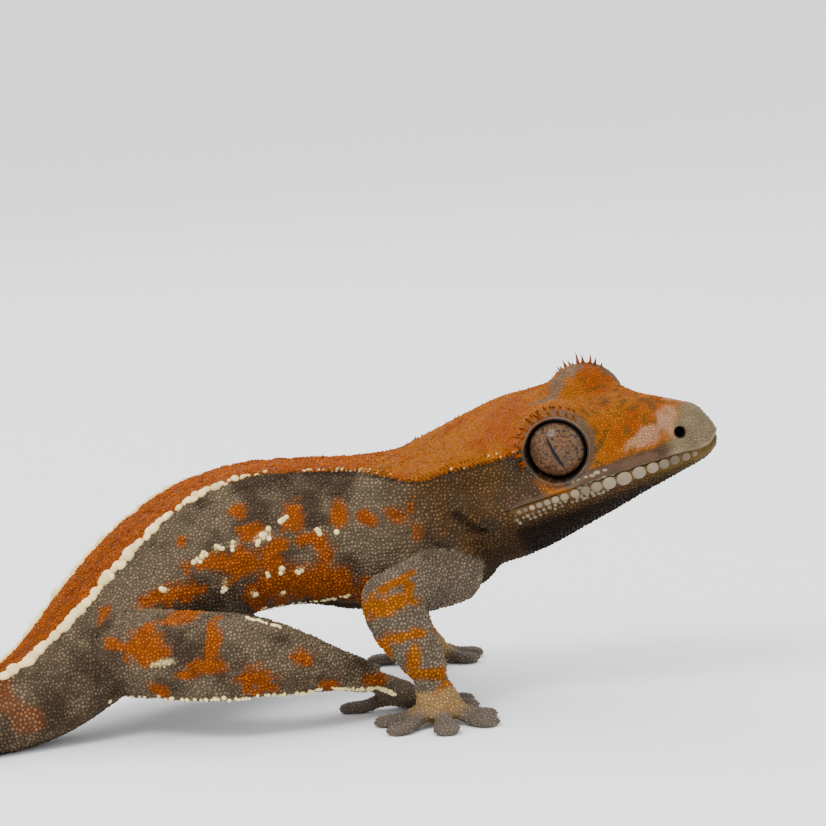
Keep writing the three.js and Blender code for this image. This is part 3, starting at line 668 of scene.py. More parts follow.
@dataclass
class SkinPlan:
    """The whole skin as one closed mesh, before colours."""

    trunk: Trunk
    cell: float = 0.34
    ear: Triple = (-8.9, 7.9, -5.9)
    sole: float = 0.02
    even_rounds: int = 3

    def make(self) -> Piece:
        """Join all flesh into one surface, then model lids, lips, nostrils and ears."""
        skin = self._fused()
        self._split_finely(skin)
        points, edges = self.arrays(skin)
        points = self._relaxed(points, edges, self._softness(points))
        points = self._with_lids(points)
        self._store(skin, points)
        points = self._with_mouth(points, self.normals(skin))
        points = self._with_openings(points)
        self._store(skin, points)
        points = self._with_wrinkles(points, self.normals(skin))
        points[:, 2] = np.maximum(points[:, 2], self.sole)
        self._store(skin, points)
        self._unwrap(skin)
        return skin

    @staticmethod
    def _store(skin: Piece, points: Array) -> None:
        """Write vertex places into the mesh."""
        skin.data.vertices.foreach_set("co", points.astype(np.float32).ravel())
        skin.data.update()

    @staticmethod
    def normals(skin: Piece) -> Array:
        """Outward direction at every vertex."""
        found = np.empty(len(skin.data.vertices) * 3, np.float32)
        skin.data.vertex_normals.foreach_get("vector", found)
        return found.reshape(-1, 3).astype(float)

    @staticmethod
    def _unwrap(skin: Piece) -> None:
        """Lay the skin out flat in patches, for pieces that take their place on it."""
        bpy.ops.object.select_all(action="DESELECT")
        skin.select_set(True)
        bpy.context.view_layer.objects.active = skin
        skin.data.uv_layers.new(name="OFBake")
        bpy.ops.object.mode_set(mode="EDIT")
        bpy.ops.mesh.select_all(action="SELECT")
        bpy.ops.uv.smart_project(angle_limit=math.radians(66), island_margin=0.004)
        bpy.ops.object.mode_set(mode="OBJECT")

    def _fused(self) -> Piece:
        """Fuse trunk, orbits and limbs into one shell of even cells."""
        parts = [tube(self.trunk.surface(self.trunk.rows_every(ROW_SPACING), PER_LINE))]
        for eye in EYES:
            parts.append(self._ball(eye.orbit(), eye.orbit_radius))
        for limb in LIMBS:
            parts += limb.flesh()
        points, faces, start = [], [], 0
        for part_points, part_faces in parts:
            points.append(part_points)
            faces += [tuple(i + start for i in face) for face in part_faces]
            start += len(part_points)
        skin = new_object("skin", np.concatenate(points), faces)
        cells = skin.modifiers.new("cells", "REMESH")
        cells.mode = "VOXEL"
        cells.voxel_size = self.cell
        settle(skin)
        return skin

    @staticmethod
    def _ball(centre: Array, radius: float) -> tuple[Array, list[tuple[int, ...]]]:
        """Close a ball, as vertices and faces."""
        turn = np.linspace(0, 2 * math.pi, 32, endpoint=False)
        rise = np.linspace(-1, 1, 18)[1:-1] * math.pi / 2
        rings = np.stack([np.cos(rise)[:, None] * np.cos(turn), np.cos(rise)[:, None] * np.sin(turn),
                          np.sin(rise)[:, None] * np.ones_like(turn)], axis=-1)
        return tube(centre + radius * rings)

    def _split_finely(self, skin: Piece) -> None:
        """Give eyes, lips and nostrils finer cells."""
        work = bmesh.new()
        work.from_mesh(skin.data)
        for reach in (1.0, 0.62):
            centres = np.array([face.calc_center_median() for face in work.faces])
            local = HEAD.local(centres)
            near = np.abs(local[:, 2] - mouth_height(local[:, 0])) < 0.75 * reach
            near &= local[:, 0] > MOUTH_CORNER - 0.6
            for eye in EYES:
                away = norm(centres - eye.centre(), axis=1)
                near |= (away < 4.3 * (0.35 + 0.65 * reach)) & (away > 1.5)
                nose = HEAD.place((NOSTRIL[0], NOSTRIL[1] * eye.side.value, NOSTRIL[2]))
                near |= norm(centres - nose, axis=1) < 1.1 * reach
            work.faces.ensure_lookup_table()
            edges = {edge for i in np.nonzero(near)[0] for edge in work.faces[i].edges}
            bmesh.ops.subdivide_edges(work, edges=list(edges), cuts=1, use_grid_fill=True)
        work.to_mesh(skin.data)
        work.free()

    @staticmethod
    def arrays(skin: Piece) -> tuple[Array, Array]:
        """Vertex places and edge ends of the mesh."""
        points = np.empty(len(skin.data.vertices) * 3, np.float32)
        skin.data.vertices.foreach_get("co", points)
        edges = np.empty(len(skin.data.edges) * 2, np.int32)
        skin.data.edges.foreach_get("vertices", edges)
        return points.reshape(-1, 3).astype(float), edges.reshape(-1, 2)

    @staticmethod
    def _softness(points: Array) -> Array:
        """Say how much each point is smoothed, 0 to 1: less on hands and feet."""
        soft = np.ones(len(points))
        for limb in LIMBS:
            away = norm((points - np.array(limb.palm)) * (1, 1, 1.5), axis=1)
            soft = np.minimum(soft, np.where(away < 9, 0.25, 1.0))
        return soft

    def _relaxed(self, points: Array, edges: Array, weight: Array) -> Array:
        """Even the surface by drawing each point towards its neighbours.

        Args:
            points: vertex places, shape (n, 3).
            edges: numbers of the two ends of each edge.
            weight: how freely each point moves, 0 to 1.

        Returns:
            The new places.
        """
        count = np.bincount(edges.ravel(), minlength=len(points))[:, None]
        for _ in range(self.even_rounds):
            total = np.zeros_like(points)
            for k in range(3):
                total[:, k] = (np.bincount(edges[:, 0], points[edges[:, 1], k], len(points))
                               + np.bincount(edges[:, 1], points[edges[:, 0], k], len(points)))
            points = points + weight[:, None] * 0.5 * (total / np.maximum(count, 1) - points)
        return points

    @staticmethod
    def _with_lids(points: Array) -> Array:
        """Open the skin in front of each eyeball, with a raised rim and a fold round it.

        Args:
            points: vertex places, shape (n, 3).

        Returns:
            The new places.
        """
        for eye in EYES:
            out, _, _ = eye.axes()
            away = points - eye.centre()
            ahead = away @ out
            aside = norm(away - ahead[:, None] * out, axis=1)
            close = (norm(away, axis=1) < 5.0) & (ahead > 0)
            behind = np.sqrt(np.maximum((eye.radius - 0.42) ** 2 - aside**2, 0.0))
            inside = smooth(eye.opening + 0.14, eye.opening - 0.16, aside) * close
            rim = np.exp(-((aside - eye.opening - 0.24) / 0.2) ** 2)
            groove = np.exp(-((aside - eye.opening - 0.62) / 0.16) ** 2)
            fold = np.exp(-((aside - eye.opening - 0.9) / 0.2) ** 2)
            goal = ahead + (0.16 * rim - 0.12 * groove + 0.06 * fold) * close
            goal = goal * (1 - inside) + np.minimum(ahead, behind) * inside
            points = points + (goal - ahead)[:, None] * out
        return points

    @staticmethod
    def _with_mouth(points: Array, normals: Array) -> Array:
        """Press in the line of the mouth, with the upper lip just over the lower.

        Args:
            points: vertex places, shape (n, 3).
            normals: outward direction at each.

        Returns:
            The new places.
        """
        local = HEAD.local(points)
        above = local[:, 2] - mouth_height(local[:, 0])
        here = smooth(MOUTH_CORNER - 0.4, MOUTH_CORNER + 0.4, local[:, 0])
        push = -0.34 * np.exp(-(above / 0.12) ** 2) + 0.08 * np.exp(-((above - 0.36) / 0.24) ** 2)
        return points + normals * (push * here)[:, None]

    @staticmethod
    def _with_wrinkles(points: Array, normals: Array) -> Array:
        """Press shallow creases into neck, flanks and the upper parts of the limbs.

        Args:
            points: vertex places, shape (n, 3).
            normals: outward direction at each.

        Returns:
            The new places.
        """
        creases = np.zeros(len(points))
        for size, deep, seed in (((2.6, 2.6, 0.9), 0.16, 21), ((1.2, 1.6, 2.8), 0.12, 22)):
            lumps = lattice_noise(points / np.array(size), 1.0, seed)
            creases += deep * smooth(0.86, 1.0, 1 - np.abs(2 * lumps - 1))
        soft = smooth(8.0, 4.0, points[:, 0]) * smooth(-34, -28, points[:, 0])
        soft = soft * smooth(2.4, 4.0, points[:, 2])
        swell = 0.1 * (lattice_noise(points, 3.5, 23) - 0.5)
        return points - normals * ((creases + swell) * soft)[:, None]

    def _with_openings(self, points: Array) -> Array:
        """Sink the nostrils and the slits of the ears, and swell the skin round the nostrils.

        Args:
            points: vertex places, shape (n, 3).

        Returns:
            The new places.
        """
        local = HEAD.local(points)
        for side in Side:
            flip = (1, side.value, 1)
            away = norm(local - np.array(NOSTRIL) * flip, axis=1)
            hole = 1.1 * np.exp(-(away / 0.42) ** 4) - 0.16 * np.exp(-((away - 0.75) / 0.3) ** 2)
            local += unit(np.array(NOSTRIL_RUN) * flip) * hole[:, None]
            ear = np.array(self.ear) * flip
            slit = (local - ear) / (1.3, 2.0, 0.5)
            deep = 0.8 * np.exp(-norm(slit, axis=1) ** 4)
            local += np.array((0.1, -side.value, 0.1)) * deep[:, None]
        return HEAD.place(local)


# Markings


class Marking(Enum):
    """Colours of the coat, one of them a painted shade, as six-digit codes."""

    ORANGE = "90500a"
    DORSAL = "8b4205"
    RUST = "8c4507"
    TAUPE = "655643"
    UMBER = "433628"
    CHEEK = "513a21"
    # dark brown of throat and belly, deepened into painted shade where the underside turns from the light
    THROAT = "170e06"
    CREAM = "ead494"
    PEARL = "796a53"
    LIP = "4b382a"
    SNOUT = "73644b"
    PINK = "a1785c"
    OLIVE = "4d3a17"
    HAND = "95754a"
    TOE = "6a5e52"
    ARM = "665a4b"
    RIM = "100905"

    @property
    def tone(self) -> Array:
        """Linear colour."""
        return np.array(srgb(self.value)[:3])


LEVEL, LEAN = 0.9925, 0.1219  # cosine and sine of how far the picture plane leans back

# Each mark as (u, v, half width, half height, turn in degrees) on the picture plane, where u is X
# and v is nearly up. Marks of the right side are repeated on the left at the twin place.
RUST_MARKS = (
    (-14.2, 18.2, 0.7, 0.6, 0), (-9.5, 17.4, 0.9, 1.6, -15), (-5.4, 17.2, 0.75, 1.1, 0),
    (-2.8, 16.7, 0.9, 0.6, -20), (-0.6, 16.9, 0.9, 0.6, -20), (1.0, 17.5, 0.45, 0.9, -15),
    (1.5, 15.2, 0.6, 0.7, 0), (4.0, 15.1, 0.8, 0.6, 20), (-14.8, 13.6, 2.2, 1.5, 10),
    (-20.6, 11.3, 2.6, 0.8, 8), (-11.5, 12.6, 0.8, 2.9, 5), (-6.9, 14.2, 0.9, 1.4, 10),
    (-8.2, 15.3, 1.6, 0.6, 12), (-11.2, 14.9, 1.5, 0.7, 10), (-7.2, 11.1, 2.9, 1.3, -5),
    (-19.4, 15.8, 0.4, 0.5, 0), (-3.6, 10.4, 0.8, 1.2, 0), (-13.3, 10.3, 0.7, 1.6, 20),
    (-12.9, 16.1, 1.5, 0.9, 0), (-17.5, 14.0, 1.6, 0.7, 15), (-26.5, 10.3, 0.5, 0.9, -20),
)
LEG_MARKS = (
    (-25.5, 7.4, 0.9, 0.6, 0), (-22.7, 7.0, 1.8, 1.7, 30), (-19.7, 9.5, 2.0, 0.6, 12),
    (-16.8, 6.9, 0.7, 2.0, -12), (-17.4, 5.2, 1.5, 0.8, 0), (-13.3, 3.6, 1.7, 1.2, -25),
    (-9.3, 5.3, 0.9, 0.7, -35), (-7.3, 2.6, 0.8, 0.5, 0), (-3.1, 2.7, 0.9, 0.6, 0),
    (-22.0, 3.2, 0.9, 0.6, -15), (-19.3, 4.4, 1.2, 0.4, 0), (-29.2, 2.2, 0.9, 0.7, 0),
)
ARM_MARKS = (
    (-1.0, 11.0, 1.6, 0.35, 22), (0.3, 10.2, 0.4, 1.0, -10), (-1.9, 9.1, 2.4, 0.75, 8),
    (-4.2, 7.9, 0.45, 1.7, 8), (-0.6, 6.4, 2.2, 0.4, 8), (-2.3, 5.4, 0.85, 1.3, -18),
    (0.3, 4.2, 0.5, 1.2, -15), (0.5, 3.0, 1.6, 0.4, 0), (3.1, 1.9, 1.2, 0.3, 30), (2.4, 2.9, 0.8, 0.5, 0),
)
CREAM_MARKS = (
    (-17.9, 14.2, 0.9, 0.35, 30), (-16.2, 15.1, 0.5, 0.35, 20), (-14.9, 15.3, 0.4, 0.5, 30),
    (-12.2, 15.8, 1.0, 0.5, 25), (-10.4, 17.2, 0.5, 0.25, 20), (-7.2, 15.9, 0.3, 0.35, 0),
    (-5.7, 15.6, 0.22, 0.22, 0), (-15.9, 11.7, 0.22, 0.7, 0), (-21.1, 11.8, 0.6, 0.2, -35),
    (-11.9, 12.3, 0.2, 0.3, 0), (-10.8, 12.6, 0.2, 0.4, 0), (-9.2, 12.5, 0.4, 0.2, 0),
    (-13.4, 10.8, 0.25, 0.25, 0), (-11.0, 10.5, 0.25, 0.25, 0),
)
PALE_ROWS = (  # rows of pale beads from one place of the picture plane to another, with their number
    (-13.7, 9.1, -11.2, 8.05, 9), (-13.0, 9.3, -10.4, 9.45, 7), (-10.4, 9.45, -5.0, 9.9, 13),
)
LIP_GRAINS = ((15.3, 18.75), (15.9, 18.3))  # hind ends of two rows of pale grains above the mouth
LOWER_LIP_SCALES = (  # how far forward each stands in the head's axes, and its size
    (11.9, 0.5), (11.2, 0.75), (10.3, 0.85), (9.4, 0.9), (8.4, 1.0), (7.25, 1.15), (5.9, 1.3), (4.55, 1.15),
    (3.35, 0.95), (2.3, 0.85), (1.3, 0.78), (0.35, 0.72), (-0.5, 0.66), (-1.3, 0.6), (-2.05, 0.55),
    (-2.75, 0.5), (-3.4, 0.46), (-4.0, 0.42), (-4.6, 0.38),
)
LEG_CREAM = ((-21.4, 5.6, 1.1, 0.22, 8),)
# painted shadow in two creases of the neck behind the jaw, as blotches on the picture plane
NECK_CREASE_SHADOWS = ((5.7, 16.0, 1.7, 0.42, -28), (4.2, 13.4, 2.2, 0.3, -32))
PINK_MARKS = ((21.9, 22.2, 1.5, 0.7, 28), (24.0, 23.6, 0.8, 1.2, 0))  # on the side of the snout
UNDER_EYE = ((13.4, 18.5, 1.4, 0.8, -35), (14.3, 17.6, 0.6, 0.4, 0))
LEFT_BROW = ((13.2, 26.2, 1.4, 0.9, 0),)


@dataclass
class Place:
    """Where points of the skin lie: on the trunk, down a limb, in the picture and on the head."""

    points: Array
    row: Array
    line: Array
    limb: Array
    along: Array
    picture: Array
    local: Array
    lift: Array

    def across(self) -> Array:
        """Line counted down from the crown on either side, 0 to 7."""
        return np.minimum(self.line, LINES - self.line)

    def above(self) -> Array:
        """Height over the line of the mouth."""
        return self.local[:, 2] - mouth_height(self.local[:, 0])

    def from_nostril(self) -> Array:
        """Distance from the middle of the nearer nostril's hole, or far more where it is out of reach."""
        away = self.local * (1, 0, 1) + np.abs(self.local) * (0, 1, 0) - NOSTRIL
        into = unit(np.array(NOSTRIL_RUN))
        aside = norm(away - (away @ into)[:, None] * into, axis=1)
        return np.where(norm(away, axis=1) < 1.6, aside, 9.0)


@dataclass
class Chart:
    """Finds the row, line and limb of any point, and its twin on the right side."""

    trunk: Trunk
    rows: Array = field(init=False)
    grid: Array = field(init=False)
    by_row: Array = field(init=False)
    by_line: Array = field(init=False)
    tree: KDTree = field(init=False)

    def __post_init__(self) -> None:
        """Sample the trunk and its slopes."""
        self.rows = self.trunk.rows_every(ROW_SPACING)
        self.grid = self.trunk.surface(self.rows, PER_LINE)
        self.by_row = np.gradient(self.grid, self.rows, axis=0)
        self.by_line = (np.roll(self.grid, -1, 1) - np.roll(self.grid, 1, 1)) * PER_LINE / 2
        self.tree = KDTree(self.grid.shape[0] * self.grid.shape[1])
        for i, point in enumerate(self.grid.reshape(-1, 3)):
            self.tree.insert(point, i)
        self.tree.balance()

    def locate(self, points: Array) -> Place:
        """Describe each point.

        Args:
            points: places in the plan, shape (n, 3).

        Returns:
            Row, line, limb and picture place of each.
        """
        found = [self.tree.find(point) for point in points]
        index = np.array([item[1] for item in found])
        apart = np.array([item[2] for item in found])
        i, j = np.divmod(index, self.grid.shape[1])
        base, tr, tl = self.grid[i, j], self.by_row[i, j], self.by_line[i, j]
        gap = points - base
        rr, ll, rl = (tr * tr).sum(1), (tl * tl).sum(1), (tr * tl).sum(1)
        gr, gl = (gap * tr).sum(1), (gap * tl).sum(1)
        det = np.maximum(rr * ll - rl * rl, 1e-6)
        row = self.rows[i] + np.clip((gr * ll - gl * rl) / det, -0.4, 0.4)
        line = (j / PER_LINE + np.clip((gl * rr - gr * rl) / det, -0.3, 0.3)) % LINES
        limb, along, twin = self._limbs(points, apart)
        mirrored = self._at(row, LINES - line)
        mirrored = mirrored + (points - self._at(row, line)) * (1, -1, 1)
        right = np.where((line < LINES / 2)[:, None], mirrored, points)
        right = np.where((limb >= 0)[:, None], twin, right)
        picture = np.stack([right[:, 0], LEVEL * right[:, 2] + LEAN * right[:, 1]], axis=1)
        return Place(points, row, line, limb, along, picture, HEAD.local(points), apart)

    def _at(self, row: Array, line: Array) -> Array:
        """Find places on the trunk by blending the grid.

        Args:
            row: fractional rows.
            line: fractional lines.

        Returns:
            One place for each pair of them.
        """
        i = np.interp(row, self.rows, np.arange(len(self.rows)))
        j = (line * PER_LINE) % self.grid.shape[1]
        i0 = np.clip(i.astype(int), 0, len(self.rows) - 2)
        j0 = j.astype(int) % self.grid.shape[1]
        j1 = (j0 + 1) % self.grid.shape[1]
        s, t = (i - i0)[:, None], (j - np.floor(j))[:, None]
        return ((self.grid[i0, j0] * (1 - t) + self.grid[i0, j1] * t) * (1 - s)
                + (self.grid[i0 + 1, j0] * (1 - t) + self.grid[i0 + 1, j1] * t) * s)

    def mirrored(self, point: Array) -> Array:
        """Place on the other side of the animal that matches a place on the trunk."""
        place = self.locate(point[None, :])
        return self._at(place.row, LINES - place.line)[0]

    @staticmethod
    def _frame(start: Array, stop: Array) -> Array:
        """Rows along, across and up of a bone."""
        along = unit(stop - start)
        across = unit(np.cross((0, 0, 1.0), along))
        return np.array((along, across, np.cross(along, across)))

    def _limbs(self, points: Array, trunk_away: Array) -> tuple[Array, Array, Array]:
        """Tell which points belong to a limb.

        Args:
            points: places in the plan, shape (n, 3).
            trunk_away: how far each lies from the trunk.

        Returns:
            Number of each point's limb or -1, how far down it lies, with 1 for each bone and the
            last for the digits, and its twin place on the right side.
        """
        best = trunk_away - 0.25
        limb = np.full(len(points), -1)
        along = np.zeros(len(points))
        twin = points.copy()
        paws = [norm(points - np.array(member.palm), axis=1) for member in LIMBS]
        for number, member in enumerate(LIMBS):
            is_left = number % 2 == 1
            right = LIMBS[number - is_left]
            for k, (bone, other) in enumerate(zip(member.bones(), right.bones())):
                start, stop, girths, _ = bone
                share = np.clip(((points - start) @ (stop - start)) / ((stop - start) @ (stop - start)), 0, 1)
                spot = start + share[:, None] * (stop - start)
                girth = np.interp(share, np.linspace(0, 1, len(girths)), girths)
                away = norm(points - spot, axis=1) - girth
                closer = away < best
                best = np.where(closer, away, best)
                limb = np.where(closer, number, limb)
                along = np.where(closer, k + share, along)
                offset = (points - spot) @ self._frame(start, stop).T * ((1, -1, 1) if is_left else (1, 1, 1))
                moved = other[0] + share[:, None] * (other[1] - other[0]) + offset @ self._frame(*other[:2])
                twin = np.where(closer[:, None], moved if is_left else points, twin)
            paw = paws[number]
            hand = (paw < 8.5) & (points[:, 2] < 3.2) & (trunk_away > 1.0) & (along >= 0)
            hand &= paw < np.min(paws, axis=0) + 1e-6
            limb = np.where(hand, number, limb)
            down = 3 + np.clip((paw - 1.5) / 6.5, 0, 1)
            along = np.where(hand & ((along >= 2.5) | (limb != number) | (away > 0)), down, along)
        return limb, along, twin


def lay(under: Array | Marking, over: Array | Marking, cover: Array) -> Array:
    """Lay one colour over another.

    Args:
        under: colour below, one for all points or one each.
        over: colour above, likewise.
        cover: how far it covers each point, 0 to 1.

    Returns:
        One linear colour for each point.
    """
    low, high = (part.tone if isinstance(part, Marking) else part for part in (under, over))
    return low * (1 - cover[:, None]) + high * cover[:, None]


@dataclass
class Coat:
    """Colours points of the skin and says how densely and coarsely they are beaded."""

    place: Place
    cloud: Array = field(init=False)
    grain: Array = field(init=False)
    wobble: Array = field(init=False)

    def __post_init__(self) -> None:
        """Draw the random values that cloud the colours and roughen their edges."""
        points = self.place.points
        self.cloud = lattice_noise(points, 2.6, 1) * 0.6 + lattice_noise(points, 1.1, 2) * 0.4
        self.grain = lattice_noise(points, 0.45, 3)
        self.wobble = (lattice_noise(points, 0.8, 4) - 0.5) * 0.9 + (self.grain - 0.5) * 0.7

    def _ellipses(self, marks: Sequence[tuple[float, ...]], wobble: Array) -> Array:
        """Give the cover of a set of blotches.

        Args:
            marks: each blotch as (u, v, half width, half height, turn).
            wobble: how far its edge is moved in at each point.

        Returns:
            One value from 0 to 1 for each point.
        """
        soft = 0.3
        cover = np.zeros(len(wobble))
        for u, v, wide, high, turn in marks:
            c, s = math.cos(math.radians(turn)), math.sin(math.radians(turn))
            du, dv = self.place.picture[:, 0] - u, self.place.picture[:, 1] - v
            away = np.hypot((du * c + dv * s) / wide, (dv * c - du * s) / high) + wobble
            cover = np.maximum(cover, smooth(1 + soft, 1 - soft, away))
        return cover

    def paint(self) -> Array:
        """Give each point's linear colour with alpha, shape (n, 4)."""
        place = self.place
        weight = smooth(0.0, 0.35, place.lift) * (place.limb >= 0)
        colour = lay(self._face(self._head(self._trunk())), self._limb_colour(), weight)
        mottle = 0.86 + 0.28 * lattice_noise(place.points, 0.7, 5) + 0.14 * (self.grain - 0.5)
        colour *= mottle[:, None]
        return np.concatenate([np.clip(colour, 0, 1), np.ones((len(colour), 1))], axis=1)

    def beading(self) -> tuple[Array, Array]:
        """Give how densely each point is beaded, 0 to 1, and how wide its beads are."""
        place = self.place
        x, above = place.local[:, 0], place.above()
        on_head = place.row < HEAD_END_ROW
        top = 0.42 + 0.5 * smooth(1.0, 2.5, x) * smooth(8.8, 7.6, x)
        bottom = -0.75 - 0.35 * smooth(-2, 5, x)
        taper = smooth(MOUTH_CORNER, -3.8, x) * (0.75 + 0.5 * lattice_noise(place.points, 0.6, 31))
        lips = on_head & (above > bottom * np.minimum(taper, 1)) & (above < top * taper)
        dense = np.where(lips, 0.0, 1.0)
        dense *= np.where((place.points[:, 2] < 0.2) | (place.from_nostril() < 0.55), 0.0, 1.0)
        girth = np.ones(len(x))
        for eye in EYES:
            aside, near, _ = eye.reach(place.points)
            dense *= np.where(near & (aside < eye.opening + 0.42), 0.0, 1.0)
            girth *= np.where(near, 0.75 + 0.25 * smooth(0.4, 1.6, aside - eye.opening), 1.0)
        girth *= 1 - 0.2 * smooth(7.5, 9.5, x) * on_head
        girth *= 1 - 0.36 * smooth(2.6, 3.3, place.along) * (place.limb >= 0)
        return dense, girth

    def _trunk(self) -> Array:
        """Colour trunk and tail: clouded greys, rust and cream blotches, the warm back, and painted shade
        towards the belly.
        """
        place, wobble = self.place, self.wobble
        across, row, u = place.across(), place.row, place.picture[:, 0]
        colour = lay(Marking.TAUPE, Marking.UMBER, smooth(0.35, 0.75, self.cloud))
        colour = lay(colour, Marking.UMBER, 0.6 * smooth(17.5, 20, row) * smooth(0.3, 0.6, self.grain))
        # painted shade: darker towards the belly
        colour = lay(colour, Marking.THROAT, 0.5 * smooth(5.3, 6.2, across))
        colour = lay(colour, Marking.RUST, self._ellipses(RUST_MARKS, wobble))
        tail = smooth(0.62, 0.7, lattice_noise(place.points, 3.0, 9)) * smooth(19.5, 21, row)
        colour = lay(colour, Marking.RUST, tail * smooth(5.5, 4.5, across) * 0.35)
        low = smooth(0.9, 0.3, np.abs(across - 4.9) + wobble * 0.4)
        low *= smooth(-13.4, -12.4, u) * smooth(-4.2, -5.2, u) * (row > HEAD_END_ROW)
        colour = lay(colour, Marking.RUST, low)
        colour = lay(colour, Marking.CREAM, 0.5 * self._ellipses(CREAM_MARKS, wobble * 0.6 + 0.25))
        back = smooth(1.22, 1.02, across + wobble * 0.12)
        colour = lay(colour, Marking.DORSAL, back * smooth(9.5, 10.5, row))
        middle = 0.6 * back * smooth(0.6, 0.0, across) * smooth(14, 17, row)
        return lay(colour, Marking.DORSAL.tone * 0.62, middle)

    def _head(self, colour: Array) -> Array:
        """Colour cheeks and crown, with painted shadow under the crest beside the crown and in the creases of
        the neck.

        Args:
            colour: the trunk's colours, shape (n, 3).

        Returns:
            Those with the head's over them.
        """
        place, wobble, cloud = self.place, self.wobble, self.cloud
        across, row, x = place.across(), place.row, place.local[:, 0]
        cheek = lay(Marking.CHEEK, Marking.UMBER, smooth(0.45, 0.8, cloud))
        # painted shade: the cheeks darker towards the chin
        cheek = lay(cheek, Marking.THROAT, smooth(4.6, 6.0, across) * 0.7)
        colour = lay(colour, cheek, smooth(11.6, 9.6, row))
        # painted shadow: a dark band under the overhanging crest from eye to shoulder
        shade = smooth(1.02, 1.14, across) * smooth(1.62, 1.24, across)
        shade = shade * smooth(6.5, 8, row) * smooth(14.2, 12.6, row)
        # painted shadow in the creases of the neck
        crease_shadow = self._ellipses(NECK_CREASE_SHADOWS, wobble * 0.5)
        colour = colour * (1 - 0.62 * shade[:, None]) * (1 - 0.6 * crease_shadow[:, None])
        top = smooth(1.16, 0.96, across + wobble * 0.1) * smooth(12.6, 12.2, row)
        face = smooth(0.2, 1.6, x + wobble) * smooth(0.95, 1.25, place.above() + wobble * 0.12)
        speck = smooth(0.56, 0.72, self.grain) * smooth(-1.0, 3.0, x)
        warm = lay(Marking.ORANGE, Marking.DORSAL, smooth(0.4, 0.7, cloud))
        warm = lay(warm, Marking.OLIVE, 0.75 * speck)
        return lay(colour, warm, np.maximum(top, face) * smooth(12.8, 11.8, row))

    def _face(self, colour: Array) -> Array:
        """Colour snout, lips, the patch under the eye and the rims of the eyes, with a painted highlight
        along the upper lip, painted shade in the nostrils and painted shade under the jaw.

        Args:
            colour: the head's colours, shape (n, 3).

        Returns:
            Those with the face's over them.
        """
        place, wobble = self.place, self.wobble
        x, above = place.local[:, 0], place.above()
        here = smooth(MOUTH_CORNER - 0.6, MOUTH_CORNER + 0.8, x)
        lip = smooth(1.15, 0.85, above + wobble * 0.1) * smooth(-0.05, 0.1, above) * here
        colour = lay(colour, Marking.LIP, lip)
        # painted highlight: a pale line along the lower edge of the upper lip, just above the mouth
        edge = smooth(0.02, 0.08, above) * smooth(0.24, 0.15, above) * here * smooth(12, 10, x)
        colour = lay(colour, Marking.PEARL, edge * 0.75)
        snout = smooth(8.6, 10.2, x + wobble * 0.5 - 0.35 * np.maximum(above - 1.2, 0))
        colour = lay(colour, Marking.SNOUT, snout)
        colour = lay(colour, Marking.PINK, self._ellipses(PINK_MARKS, wobble) * 0.85)
        colour = lay(colour, Marking.ORANGE, self._ellipses(UNDER_EYE, wobble) * 0.9)
        under = lay(Marking.OLIVE, Marking.CHEEK, smooth(8.5, 5.5, x))
        # painted shade: the lower jaw darker towards the throat
        under = lay(under, Marking.THROAT, smooth(-0.9, -2.6, above))
        colour = lay(colour, under, smooth(-0.05, -0.15, above) * here)
        brow = self._ellipses(LEFT_BROW, wobble) * (place.line < LINES / 2)
        colour = lay(colour, Marking.TAUPE, brow * 0.8)
        # painted shade: near black inside each nostril's hole
        colour = lay(colour, Marking.RIM, smooth(0.62, 0.44, place.from_nostril()))
        for eye in EYES:
            aside, close, ahead = eye.reach(place.points)
            fold = smooth(eye.opening + 0.95, eye.opening + 0.6, aside)
            fold = fold * (0.35 + 0.65 * smooth(-1.5, 1.0, ahead)) * close
            colour = lay(colour, Marking.TAUPE.tone * 0.8, fold * 0.75)
            rim = smooth(eye.opening + 0.26, eye.opening + 0.1, aside) * close
            colour = lay(colour, Marking.RIM, rim)
        return colour

    def _limb_colour(self) -> Array:
        """Colour arms and legs: greys with warm bands and marks, and paler hands."""
        place, wobble = self.place, self.wobble
        colour = lay(Marking.TAUPE, Marking.UMBER, smooth(0.4, 0.8, self.cloud))
        arm = (place.limb >= 0) & (place.limb < FIRST_LEG)
        colour = lay(colour, Marking.ARM, 0.6 * arm)
        bands = self._ellipses(ARM_MARKS, wobble - 0.2)
        rust = np.where(arm, bands, self._ellipses(LEG_MARKS, wobble))
        warm = np.where(arm[:, None], Marking.ORANGE.tone, Marking.RUST.tone)
        hand = smooth(2.55, 2.95, place.along)
        colour = lay(colour, Marking.HAND, hand * smooth(3.5, 3.2, place.along) * arm)
        colour = lay(colour, warm, rust * (1 - 0.55 * hand))
        colour = lay(colour, Marking.CREAM, 0.8 * self._ellipses(LEG_CREAM, wobble * 0.5) * ~arm)
        return lay(colour, Marking.TOE, smooth(3.05, 3.3, place.along))


# Finishes


